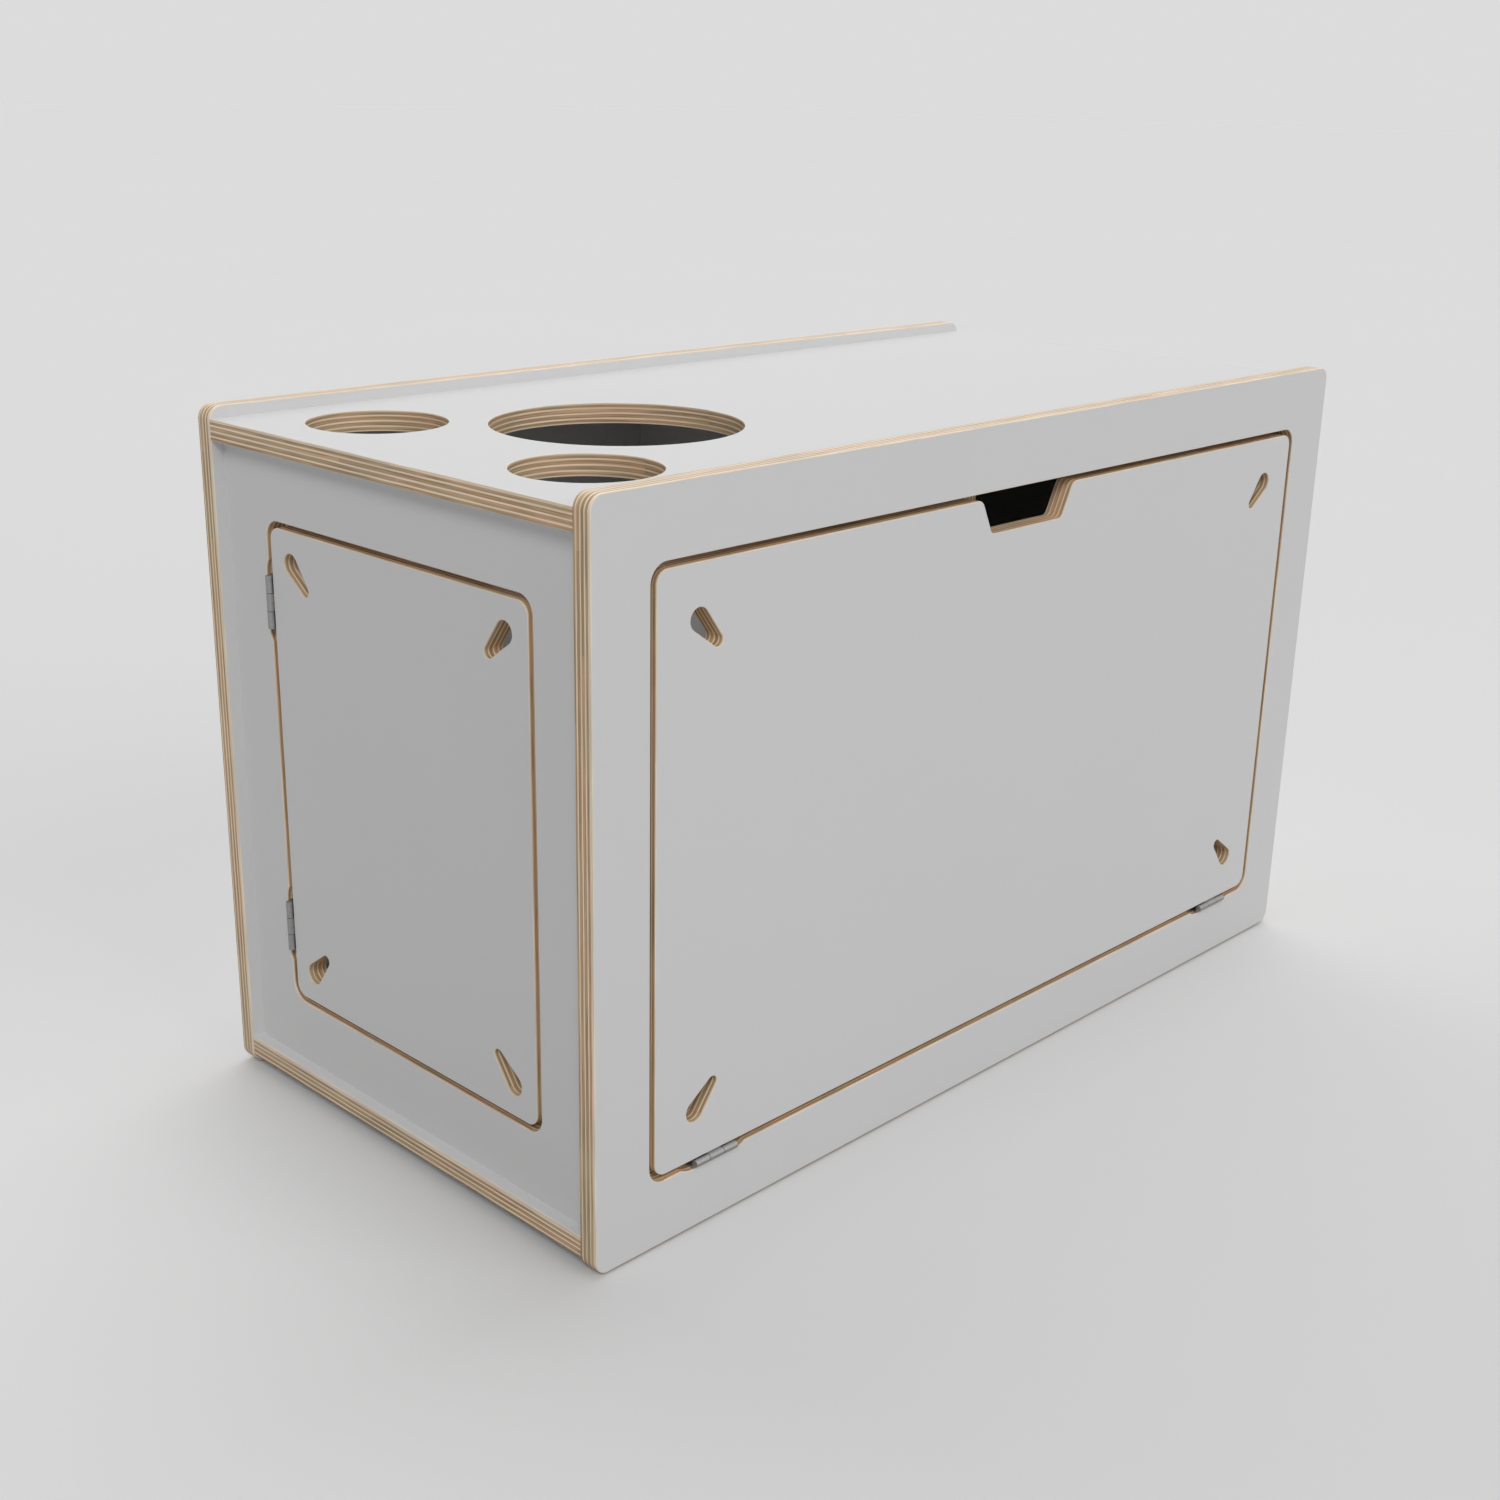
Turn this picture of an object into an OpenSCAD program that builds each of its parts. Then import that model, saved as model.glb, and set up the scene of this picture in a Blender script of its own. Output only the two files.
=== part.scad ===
// Plywood storage chest with a drop flap, a side door and three round holes in its top.
// Millimetres. +X runs right along the front, the flap faces -Y, +Z is up,
// and the origin is on the floor under the middle of the box.

/* [Box] */
// Overall length, end to end
box_l = 650; // [600:5:800]
// Overall depth, front face to back face
box_d = 326; // [306:2:400]
// Overall height
box_h = 400; // [370:5:480]
// Thickness of every plywood panel and door
panel_t = 12; // [11:0.5:14]
// How far the front and back panels stand past the top and bottom panels
lip = 6.5; // [3:0.5:10]
// How far the end panels sit in from the ends of the long panels
end_recess = 7.5; // [4:0.5:12]
// Outer corner radius of the front and back panels
panel_corner_r = 8; // [3:0.5:14]
// How far the divider's front edge stands back from the front panel
divider_setback = 30; // [18:1:60]

/* [Doors] */
// Width of the frame around the front opening
front_frame_w = 36.6; // [34:0.2:44]
// Width of the frame around the end opening
end_frame_w = 38; // [34:0.5:44]
// Gap all round between a door and its opening
leaf_gap = 3.6; // [3.2:0.1:4.4]
// Corner radius of the two openings
opening_corner_r = 10.5; // [7:0.5:14]
// Corner radius of the flap and the side door
leaf_corner_r = 7.5; // [4:0.5:12]

/* [Finger notch] */
// Depth of the notch in the flap's top edge
notch_depth = 20; // [14:1:28]
// Width of the notch along its floor
notch_floor_w = 64.4; // [50:0.2:80]
// Width of the notch at its mouth, before the mouth is rounded
notch_mouth_w = 84; // [82:1:110]
// Radius of the notch's two inner corners
notch_floor_r = 4; // [2:0.5:6]
// Radius of the notch's two outer corners
notch_mouth_r = 6; // [2:0.5:9]

/* [Cord slots] */
// Radius of a slot's wide end, which passes the cord's knot
slot_wide_r = 6.1; // [5:0.1:8]
// Radius of a slot's narrow end, which holds the knot
slot_narrow_r = 3.3; // [2.2:0.1:4.2]
// Step from the wide end to the narrow end, along each edge of the door
slot_reach = 12.4; // [9:0.2:18]
// Wide end to the flap's edges
flap_slot_inset = 28.3; // [18:0.1:40]
// Wide end to the side door's edges
door_slot_inset = 18.4; // [14:0.1:28]

/* [Top holes] */
// Diameter of the large hole
large_hole_d = 141; // [100:1:160]
// Diameter of the two small holes
small_hole_d = 77.2; // [60:0.2:84]
// Large hole's centre to the left end
large_hole_inset = 162.5; // [155:0.5:190]
// Small holes' centres to the left end
small_hole_inset = 64.8; // [60:0.2:72]
// Small holes' centres to the front and back faces
small_hole_edge = 76.4; // [72:0.2:84]

/* [Hinges] */
// Length of a hinge along its barrel
hinge_l = 30; // [26:1:36]
// Diameter of the barrel
barrel_d = 4; // [3.8:0.1:4.4]
// Diameter of the pin
pin_d = 1.9; // [1.6:0.1:2.2]
// Thickness of a hinge leaf
hinge_leaf_t = 1; // [0.8:0.1:1.2]
// Door corner to the middle of the hinge
hinge_inset = 42.8; // [36:0.2:60]
// How far the barrel's axis stands outside the face of the panel
barrel_proud = 0.9; // [0.7:0.1:1.4]
// Barrel's axis to the edge of the opening
barrel_to_frame = 1.2; // [1:0.1:1.5]
// Depth of the hinge pocket in the frame
pocket_depth = 2.2; // [1.8:0.1:2.6]
// Radius of the cutter that mills the pocket
pocket_cutter_r = 15; // [8:0.5:20]
// Length of the pocket's flat floor
pocket_floor_l = 31; // [31:1:44]
// Back edge of a hinge leaf to the inner face of the panel
hinge_leaf_margin = 1; // [0.6:0.1:2]
// Radial running clearance of the pin in the door's knuckle
pin_run_clear = 0.05; // [0.02:0.01:0.1]
// Radial clearance of the pin where the frame's knuckles hold it
pin_hold_clear = 0.01; // [0.01:0.01:0.02]
// Gap between knuckles, and between a knuckle and the other leaf
knuckle_gap = 0.3; // [0.2:0.05:0.5]

/* [Screws] */
// Shank diameter of the hinge and strike screws
small_screw_d = 2.5; // [2.2:0.1:2.8]
// Head diameter of the hinge and strike screws
small_screw_head_d = 4.6; // [4.2:0.1:5]
// Length of the hinge screws in the wood
hinge_screw_l = 12; // [9:0.5:14]
// Spacing of the two screws in a hinge leaf
hinge_screw_pitch = 19; // [16:0.5:20]
// Width and depth of a screw's cross slot
drive_w = 0.6; // [0.4:0.1:0.8]
// Clearance round every screw, and round every magnet in its housing
fastener_clear = 0.05; // [0.02:0.01:0.1]

/* [Catches] */
// Flap catches to the middle of the box
flap_catch_x = 150; // [110:5:200]
// Length of a catch over its ears
catch_l = 44; // [42:1:52]
// Length of a catch's block, between its ears
catch_block_l = 28; // [26:1:30]
// Depth of a catch's block into the box
catch_h = 11; // [10:0.5:14]
// Thickness of a catch's ears
catch_ear_t = 3; // [2:0.5:4]
// How far a catch reaches over the frame
catch_foot = 14; // [11:1:18]
// Opening's edge to the middle of the magnet
magnet_offset = 10; // [9.5:0.5:12]
// Gap between a pole plate and the strike plate
catch_gap = 0.4; // [0.3:0.1:0.8]
// Length of the magnet
magnet_l = 20; // [16:1:22]
// Thickness of the magnet between its pole plates
magnet_t = 4; // [3:0.5:5]
// Depth of the magnet into the box
magnet_h = 7; // [5:0.5:8]
// Thickness of a pole plate
pole_t = 1.2; // [0.8:0.1:1.6]
// How far the pole plates stand past the magnet
pole_proud = 0.5; // [0.3:0.1:1]
// Wall of the block round the magnet
catch_wall = 2; // [1.4:0.1:3]
// Length of a catch screw in the wood
catch_screw_l = 8; // [6:0.5:9]
// Shank diameter of a catch screw
catch_screw_d = 3; // [2.6:0.1:3.2]
// Head diameter of a catch screw
catch_screw_head_d = 5.6; // [5:0.1:6]
// Height of a catch screw's head
catch_screw_head_h = 1.6; // [1.2:0.1:2]
// Length of a strike plate
strike_l = 32; // [30:1:36]
// Width of a strike plate
strike_w = 10; // [8:0.5:11]
// Thickness of a strike plate
strike_t = 1.2; // [1:0.1:1.6]
// Strike screws' centres to the ends of the plate
strike_screw_inset = 4; // [3.5:0.1:5]
// Length of the strike screws in the wood
strike_screw_l = 7; // [5:0.5:8]

/* [Dowels] */
// Diameter of a dowel
dowel_d = 8; // [6:0.5:8]
// Depth of a dowel in the face of a panel
dowel_face_depth = 8; // [6:0.5:9]
// Depth of a dowel in the edge of a panel
dowel_edge_depth = 20; // [14:1:24]
// Radial glue gap round a dowel
dowel_clear = 0.05; // [0.02:0.01:0.1]
// Glue gap past each end of a dowel
dowel_end_gap = 0.5; // [0.2:0.1:1]
// Outermost long-edge dowels to the box's ends
dowel_end_inset = 55; // [48:1:70]
// Dowels along each long edge
long_edge_dowels = 5; // [3:2:7]
// Outermost upright-edge dowels to the ends of the edge
dowel_upright_inset = 42; // [30:1:60]
// Outermost cross-edge dowels to the front and back panels
dowel_cross_inset = 50; // [40:1:60]

/* [Hidden] */
$fn = 72;
// Overlap that carries a cutting shape clear of the face it cuts
cut = 1;
// How far a slanted side lies inside the arcs that it joins, so that it crosses them cleanly
tangent_inset = 0.02;

laminate = [0.75, 0.75, 0.75];
steel = [0.6, 0.6, 0.62];
beech = [0.85, 0.72, 0.52];
grey_plastic = [0.45, 0.46, 0.48];

// Faces and levels of the box
half_l = box_l / 2;
half_d = box_d / 2;
inner_half_d = half_d - panel_t;
deck_z = box_h - lip;
ceiling_z = deck_z - panel_t;
floor_z = lip + panel_t;
inner_h = ceiling_z - floor_z;
end_face_x = half_l - end_recess;
end_inner_x = end_face_x - panel_t;

// Openings, and the doors that fill them
front_opening_w = box_l - 2 * front_frame_w;
front_opening_h = box_h - 2 * front_frame_w;
flap_w = front_opening_w - 2 * leaf_gap;
flap_h = front_opening_h - 2 * leaf_gap;
end_opening_w = 2 * (inner_half_d - end_frame_w);
end_opening_h = inner_h - 2 * end_frame_w;
door_w = end_opening_w - 2 * leaf_gap;
door_h = end_opening_h - 2 * leaf_gap;
mid_z = box_h / 2;

// Hinge axes: the flap's lies along X, the side door's along Z
flap_axis_y = -half_d - barrel_proud;
flap_axis_z = mid_z - front_opening_h / 2 + barrel_to_frame;
flap_hinge_x = flap_w / 2 - hinge_inset;
door_axis_x = -end_face_x - barrel_proud;
door_axis_y = end_opening_w / 2 - barrel_to_frame;
door_hinge_dz = door_h / 2 - hinge_inset;

// A hinge in its own frame: barrel along X, panel thickness along +Y, the door on the +Z side
barrel_to_door = leaf_gap - barrel_to_frame;
pocket_floor_z = -barrel_to_frame - pocket_depth;
hinge_leaf_back = barrel_proud + panel_t - hinge_leaf_margin;
hinge_screw_y = barrel_proud + panel_t / 2;
door_knuckle_l = hinge_l / 3;
frame_knuckle_l = (hinge_l - door_knuckle_l) / 2 - knuckle_gap;

// A catch in its own frame: X along the edge, Y from the frame over the door, Z into the box
strike_y = magnet_offset - strike_w / 2;
ear_y = -catch_foot / 2;
ear_x = (catch_l + catch_block_l) / 4;
block_end_y = magnet_offset + magnet_t / 2 + pole_t + catch_wall;
magnet_z = catch_gap + pole_proud;
strike_screw_x = strike_l / 2 - strike_screw_inset;

// Dowel rows
dowel_l = dowel_face_depth + dowel_edge_depth - 2 * dowel_end_gap;
long_edge_step = 2 * (half_l - dowel_end_inset) / (long_edge_dowels - 1);
long_edge_xs = [for (i = [0 : long_edge_dowels - 1]) -half_l + dowel_end_inset + i * long_edge_step];
upright_reach = inner_h / 2 - dowel_upright_inset;
upright_zs = [for (s = [-1, 0, 1]) mid_z + s * upright_reach];
cross_reach = inner_half_d - dowel_cross_inset;
cross_ys = [for (s = [-1, 0, 1]) s * cross_reach];
divider_front_y = -inner_half_d + divider_setback;
divider_ys = [divider_front_y + dowel_cross_inset / 2, cross_reach];
end_mid_x = end_face_x - panel_t / 2;
deck_mid_z = deck_z - panel_t / 2;
base_mid_z = lip + panel_t / 2;

// ---- flat shapes ----

module rounded_rect(w, h, r) {
    square([w - 2 * r, h], center = true);
    square([w, h - 2 * r], center = true);
    for (sx = [-1, 1], sy = [-1, 1])
        translate([sx * (w / 2 - r), sy * (h / 2 - r)]) circle(r);
}

// Teardrop slot: wide end on the origin, narrow end along +X
module cord_slot_2d() {
    reach = slot_reach * sqrt(2);
    tangent = acos((slot_wide_r - slot_narrow_r) / reach);
    wide_r = slot_wide_r - tangent_inset;
    narrow_r = slot_narrow_r - tangent_inset;
    circle(slot_wide_r);
    translate([reach, 0]) circle(slot_narrow_r);
    polygon([
        [wide_r * cos(tangent), wide_r * sin(tangent)],
        [wide_r * cos(tangent), -wide_r * sin(tangent)],
        [reach + narrow_r * cos(tangent), -narrow_r * sin(tangent)],
        [reach + narrow_r * cos(tangent), narrow_r * sin(tangent)]
    ]);
}

// Four slots, each pointing from its corner to the middle of the door
module corner_slots_2d(w, h, inset) {
    for (sx = [-1, 1], sy = [-1, 1])
        translate([sx * (w / 2 - inset), sy * (h / 2 - inset)])
            rotate(atan2(-sy, -sx)) cord_slot_2d();
}

// Trapezoid notch hanging from the origin, with both pairs of corners rounded
module finger_notch_2d() {
    floor_x = notch_floor_w / 2;
    mouth_x = notch_mouth_w / 2;
    lean = atan2(mouth_x - floor_x, notch_depth);
    floor_reach = notch_floor_r - tangent_inset;
    mouth_reach = notch_mouth_r - tangent_inset;
    in_x = floor_x + notch_floor_r * (tan(lean) - 1 / cos(lean));
    in_y = notch_floor_r - notch_depth;
    out_x = mouth_x + notch_mouth_r * (1 / cos(lean) - tan(lean));
    side_x = out_x - mouth_reach * cos(lean);
    side_y = mouth_reach * sin(lean) - notch_mouth_r;
    tip_x = in_x + floor_reach * cos(lean);
    tip_y = in_y - floor_reach * sin(lean);
    right = [[out_x, cut], [out_x, side_y], [side_x, side_y], [tip_x, tip_y], [in_x, -notch_depth]];
    difference() {
        union() {
            polygon(concat(right, [for (i = [len(right) - 1 : -1 : 0]) [-right[i].x, right[i].y]]));
            for (s = [-1, 1]) translate([s * in_x, in_y]) circle(notch_floor_r);
        }
        for (s = [-1, 1]) translate([s * out_x, tangent_inset - notch_mouth_r]) circle(notch_mouth_r);
    }
}

// Hinge pocket seen along the panel's thickness: X along the edge, +Y into the frame
module hinge_pocket_2d() {
    for (s = [-1, 1])
        translate([s * pocket_floor_l / 2, pocket_depth - pocket_cutter_r]) circle(pocket_cutter_r);
    translate([-pocket_floor_l / 2, -cut]) square([pocket_floor_l, pocket_depth + cut]);
}

// ---- placing ----

// A flat shape drawn as X and Z, given the panel's thickness from y inwards
module stand_long(y) {
    translate([0, y + panel_t, mid_z]) rotate([90, 0, 0]) linear_extrude(panel_t) children();
}

// A flat shape drawn as Y and Z, given the panel's thickness from x towards +X
module stand_across(x) {
    translate([x, 0, mid_z]) rotate([90, 0, 90]) linear_extrude(panel_t) children();
}

module at_flap_hinge(side) {
    translate([side * flap_hinge_x, flap_axis_y, flap_axis_z]) children();
}

module at_door_hinge(side) {
    translate([door_axis_x, door_axis_y, mid_z + side * door_hinge_dz]) rotate([0, 90, -90]) children();
}

module at_flap_catch(side) {
    translate([side * flap_catch_x, -inner_half_d, mid_z + front_opening_h / 2]) rotate([-90, 0, 0]) children();
}

module at_door_catch() {
    translate([-end_inner_x, -end_opening_w / 2, mid_z]) rotate([0, 90, 0]) children();
}

// ---- fasteners ----

// Countersunk screw: its head's face is on the origin and it points along -Z
module countersunk_screw(head_t, wood_l) {
    head_r = small_screw_head_d / 2;
    shank_r = small_screw_d / 2;
    difference() {
        union() {
            translate([0, 0, -head_t]) cylinder(h = head_t, r1 = shank_r, r2 = head_r);
            translate([0, 0, -head_t - wood_l + shank_r]) cylinder(h = wood_l - shank_r, r = shank_r);
            translate([0, 0, -head_t - wood_l]) cylinder(h = shank_r, r1 = shank_r / 4, r2 = shank_r);
        }
        for (turn = [0, 90]) rotate(turn)
            cube([head_r * 1.2, drive_w, 2 * drive_w], center = true);
    }
}

// The hole that a countersunk screw needs in its plate
module countersunk_hole(head_t) {
    translate([0, 0, -head_t - cut])
        cylinder(h = cut + head_t, r = small_screw_d / 2 + fastener_clear);
    translate([0, 0, -head_t])
        cylinder(h = head_t, r1 = small_screw_d / 2 + fastener_clear, r2 = small_screw_head_d / 2 + fastener_clear);
    cylinder(h = cut, r = small_screw_head_d / 2 + fastener_clear);
}

// Pilot hole below the origin, along -Z
module pilot_hole(d, l) {
    translate([0, 0, -l - fastener_clear]) cylinder(h = l + fastener_clear + cut, r = d / 2 + fastener_clear);
}

// Two screws or holes, spread along X
module pair(x) {
    for (s = [-1, 1]) translate([s * x, 0, 0]) children();
}

// ---- hinge ----

module along_barrel(l, x = 0) {
    translate([x - l / 2, 0, 0]) rotate([90, 0, 90]) linear_extrude(l) children();
}

module frame_leaf() {
    plate_z = pocket_floor_z + hinge_leaf_t;
    barrel_r = barrel_d / 2;
    knuckle_x = (hinge_l - frame_knuckle_l) / 2;
    color(steel) difference() {
        union() {
            along_barrel(hinge_l)
                translate([barrel_r - hinge_leaf_t, pocket_floor_z])
                    square([hinge_leaf_back - barrel_r + hinge_leaf_t, hinge_leaf_t]);
            for (s = [-1, 1]) along_barrel(frame_knuckle_l, s * knuckle_x) {
                circle(barrel_r);
                translate([barrel_r - hinge_leaf_t, pocket_floor_z]) square([hinge_leaf_t, -pocket_floor_z]);
            }
        }
        along_barrel(hinge_l + 2 * cut) circle(pin_d / 2 + pin_hold_clear);
        translate([0, hinge_screw_y, plate_z]) pair(hinge_screw_pitch / 2) countersunk_hole(hinge_leaf_t);
    }
}

module door_leaf() {
    plate_z = barrel_to_door - hinge_leaf_t;
    barrel_r = barrel_d / 2;
    plate_y = barrel_r + knuckle_gap;
    color(steel) difference() {
        union() {
            along_barrel(hinge_l)
                translate([plate_y, plate_z]) square([hinge_leaf_back - plate_y, hinge_leaf_t]);
            along_barrel(door_knuckle_l) {
                circle(barrel_r);
                translate([0, barrel_r - hinge_leaf_t]) square([plate_y, hinge_leaf_t]);
                translate([barrel_r - hinge_leaf_t / 2, plate_z]) square([plate_y - barrel_r + hinge_leaf_t, hinge_leaf_t]);
            }
        }
        along_barrel(hinge_l + 2 * cut) circle(pin_d / 2 + pin_run_clear);
        translate([0, hinge_screw_y, plate_z]) rotate([180, 0, 0]) pair(hinge_screw_pitch / 2) countersunk_hole(hinge_leaf_t);
    }
}

module hinge_pin() {
    color(steel) along_barrel(hinge_l) circle(pin_d / 2);
}

module frame_leaf_screws() {
    color(steel) translate([0, hinge_screw_y, pocket_floor_z + hinge_leaf_t])
        pair(hinge_screw_pitch / 2) countersunk_screw(hinge_leaf_t, hinge_screw_l);
}

module door_leaf_screws() {
    color(steel) translate([0, hinge_screw_y, barrel_to_door - hinge_leaf_t]) rotate([180, 0, 0])
        pair(hinge_screw_pitch / 2) countersunk_screw(hinge_leaf_t, hinge_screw_l);
}

module frame_pilot_holes() {
    translate([0, hinge_screw_y, pocket_floor_z]) pair(hinge_screw_pitch / 2) pilot_hole(small_screw_d, hinge_screw_l);
}

module door_pilot_holes() {
    translate([0, hinge_screw_y, barrel_to_door]) rotate([180, 0, 0])
        pair(hinge_screw_pitch / 2) pilot_hole(small_screw_d, hinge_screw_l);
}

// ---- magnetic catch ----

module catch_housing() {
    pocket_w = magnet_t + 2 * pole_t + 2 * fastener_clear;
    pocket_l = magnet_l + 2 * fastener_clear;
    pocket_h = magnet_h + pole_proud + fastener_clear;
    color(grey_plastic) difference() {
        union() {
            translate([-catch_block_l / 2, -catch_foot, catch_gap])
                cube([catch_block_l, catch_foot + block_end_y, catch_h - catch_gap]);
            translate([-catch_l / 2, -catch_foot, 0])
                cube([catch_l, catch_foot - catch_gap, catch_ear_t]);
        }
        translate([-pocket_l / 2, magnet_offset - pocket_w / 2, catch_gap - cut])
            cube([pocket_l, pocket_w, pocket_h + cut]);
        translate([0, ear_y, -cut]) pair(ear_x) cylinder(h = catch_ear_t + 2 * cut, r = catch_screw_d / 2 + fastener_clear);
    }
}

module catch_magnet() {
    color(grey_plastic) translate([-magnet_l / 2, magnet_offset - magnet_t / 2, magnet_z])
        cube([magnet_l, magnet_t, magnet_h]);
}

module catch_poles() {
    for (s = [-1, 1])
        color(steel) translate([-magnet_l / 2, magnet_offset + s * (magnet_t + pole_t) / 2 - pole_t / 2, catch_gap])
            cube([magnet_l, pole_t, magnet_h + pole_proud]);
}

// Pan-head screws through the ears
module catch_screws() {
    color(steel) translate([0, ear_y, catch_ear_t]) pair(ear_x) difference() {
        union() {
            cylinder(h = catch_screw_head_h, r = catch_screw_head_d / 2);
            translate([0, 0, -catch_ear_t - catch_screw_l]) cylinder(h = catch_ear_t + catch_screw_l, r = catch_screw_d / 2);
        }
        translate([0, 0, catch_screw_head_h]) for (turn = [0, 90]) rotate(turn)
            cube([catch_screw_head_d / 2, drive_w, 2 * drive_w], center = true);
    }
}

module catch_pilot_holes() {
    translate([0, ear_y, 0]) pair(ear_x) pilot_hole(catch_screw_d, catch_screw_l);
}

// Strike plate, let into the inner face of the door
module strike_plate() {
    color(steel) difference() {
        translate([-strike_l / 2, strike_y, -strike_t]) cube([strike_l, strike_w, strike_t]);
        translate([0, magnet_offset, 0]) pair(strike_screw_x) countersunk_hole(strike_t);
    }
}

module strike_screws() {
    color(steel) translate([0, magnet_offset, 0]) pair(strike_screw_x) countersunk_screw(strike_t, strike_screw_l);
}

module strike_recess() {
    translate([-strike_l / 2 - fastener_clear, strike_y - fastener_clear, -strike_t])
        cube([strike_l + 2 * fastener_clear, strike_w + 2 * fastener_clear, strike_t + cut]);
    translate([0, magnet_offset, -strike_t]) pair(strike_screw_x) pilot_hole(small_screw_d, strike_screw_l);
}

// ---- dowels ----

// Dowel or its hole on the joint plane z = 0: the face side is +Z, the edge side is -Z
module dowel() {
    color(beech) translate([0, 0, -dowel_edge_depth + dowel_end_gap]) cylinder(h = dowel_l, r = dowel_d / 2);
}

module dowel_hole() {
    translate([0, 0, -dowel_edge_depth]) cylinder(h = dowel_edge_depth + dowel_face_depth, r = dowel_d / 2 + dowel_clear);
}

// Places children, made along Z, where a panel's edge meets the front or the back panel
module into_long_panel(side, x, z) {
    translate([x, side * inner_half_d, z]) rotate([-side * 90, 0, 0]) children();
}

// Places children where an upright panel's edge meets the top or the bottom panel
module into_deck(side, x, y) {
    translate([x, y, side > 0 ? ceiling_z : floor_z]) rotate([side > 0 ? 0 : 180, 0, 0]) children();
}

module top_dowel_places() {
    for (side = [-1, 1], x = long_edge_xs) into_long_panel(side, x, deck_mid_z) children();
}

module bottom_dowel_places() {
    for (side = [-1, 1], x = long_edge_xs) into_long_panel(side, x, base_mid_z) children();
}

module end_dowel_places(end) {
    for (side = [-1, 1], z = upright_zs) into_long_panel(side, end * end_mid_x, z) children();
    for (side = [-1, 1], y = cross_ys) into_deck(side, end * end_mid_x, y) children();
}

module divider_dowel_places() {
    for (z = upright_zs) into_long_panel(1, 0, z) children();
    for (side = [-1, 1], y = divider_ys) into_deck(side, 0, y) children();
}

// ---- panels ----

module front_panel() {
    color(laminate) difference() {
        stand_long(-half_d) difference() {
            rounded_rect(box_l, box_h, panel_corner_r);
            rounded_rect(front_opening_w, front_opening_h, opening_corner_r);
            for (s = [-1, 1]) translate([s * flap_hinge_x, -front_opening_h / 2]) rotate(180) hinge_pocket_2d();
        }
        for (s = [-1, 1]) {
            at_flap_hinge(s) frame_pilot_holes();
            at_flap_catch(s) catch_pilot_holes();
            end_dowel_places(s) dowel_hole();
        }
        top_dowel_places() dowel_hole();
        bottom_dowel_places() dowel_hole();
    }
}

module back_panel() {
    color(laminate) difference() {
        stand_long(inner_half_d) rounded_rect(box_l, box_h, panel_corner_r);
        top_dowel_places() dowel_hole();
        bottom_dowel_places() dowel_hole();
        for (s = [-1, 1]) end_dowel_places(s) dowel_hole();
        divider_dowel_places() dowel_hole();
    }
}

module top_panel() {
    color(laminate) difference() {
        translate([0, 0, ceiling_z]) linear_extrude(panel_t) square([box_l, 2 * inner_half_d], center = true);
        translate([-half_l + large_hole_inset, 0, ceiling_z - cut])
            cylinder(h = panel_t + 2 * cut, r = large_hole_d / 2);
        for (s = [-1, 1]) translate([-half_l + small_hole_inset, s * (half_d - small_hole_edge), ceiling_z - cut])
            cylinder(h = panel_t + 2 * cut, r = small_hole_d / 2);
        top_dowel_places() dowel_hole();
        for (s = [-1, 1]) end_dowel_places(s) dowel_hole();
        divider_dowel_places() dowel_hole();
    }
}

module bottom_panel() {
    color(laminate) difference() {
        translate([0, 0, lip]) linear_extrude(panel_t) square([box_l, 2 * inner_half_d], center = true);
        bottom_dowel_places() dowel_hole();
        for (s = [-1, 1]) end_dowel_places(s) dowel_hole();
        divider_dowel_places() dowel_hole();
    }
}

module left_end_panel() {
    color(laminate) difference() {
        stand_across(-end_face_x) difference() {
            square([2 * inner_half_d, inner_h], center = true);
            rounded_rect(end_opening_w, end_opening_h, opening_corner_r);
            for (s = [-1, 1]) translate([end_opening_w / 2, s * door_hinge_dz]) rotate(-90) hinge_pocket_2d();
        }
        for (s = [-1, 1]) at_door_hinge(s) frame_pilot_holes();
        at_door_catch() catch_pilot_holes();
        end_dowel_places(-1) dowel_hole();
    }
}

module right_end_panel() {
    color(laminate) difference() {
        stand_across(end_inner_x) square([2 * inner_half_d, inner_h], center = true);
        end_dowel_places(1) dowel_hole();
    }
}

module divider() {
    color(laminate) difference() {
        translate([-panel_t / 2, divider_front_y, floor_z]) cube([panel_t, inner_half_d - divider_front_y, inner_h]);
        divider_dowel_places() dowel_hole();
    }
}

module front_flap() {
    color(laminate) difference() {
        stand_long(-half_d) difference() {
            rounded_rect(flap_w, flap_h, leaf_corner_r);
            corner_slots_2d(flap_w, flap_h, flap_slot_inset);
            translate([0, flap_h / 2]) finger_notch_2d();
        }
        for (s = [-1, 1]) {
            at_flap_hinge(s) door_pilot_holes();
            at_flap_catch(s) strike_recess();
        }
    }
}

module side_door() {
    color(laminate) difference() {
        stand_across(-end_face_x) difference() {
            rounded_rect(door_w, door_h, leaf_corner_r);
            corner_slots_2d(door_w, door_h, door_slot_inset);
        }
        for (s = [-1, 1]) at_door_hinge(s) door_pilot_holes();
        at_door_catch() strike_recess();
    }
}

// ---- nodes made from the shared parts ----

module flap_hinge_left_frame_leaf() { at_flap_hinge(-1) frame_leaf(); }
module flap_hinge_left_flap_leaf() { at_flap_hinge(-1) door_leaf(); }
module flap_hinge_left_pin() { at_flap_hinge(-1) hinge_pin(); }
module flap_hinge_right_frame_leaf() { at_flap_hinge(1) frame_leaf(); }
module flap_hinge_right_flap_leaf() { at_flap_hinge(1) door_leaf(); }
module flap_hinge_right_pin() { at_flap_hinge(1) hinge_pin(); }

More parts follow.
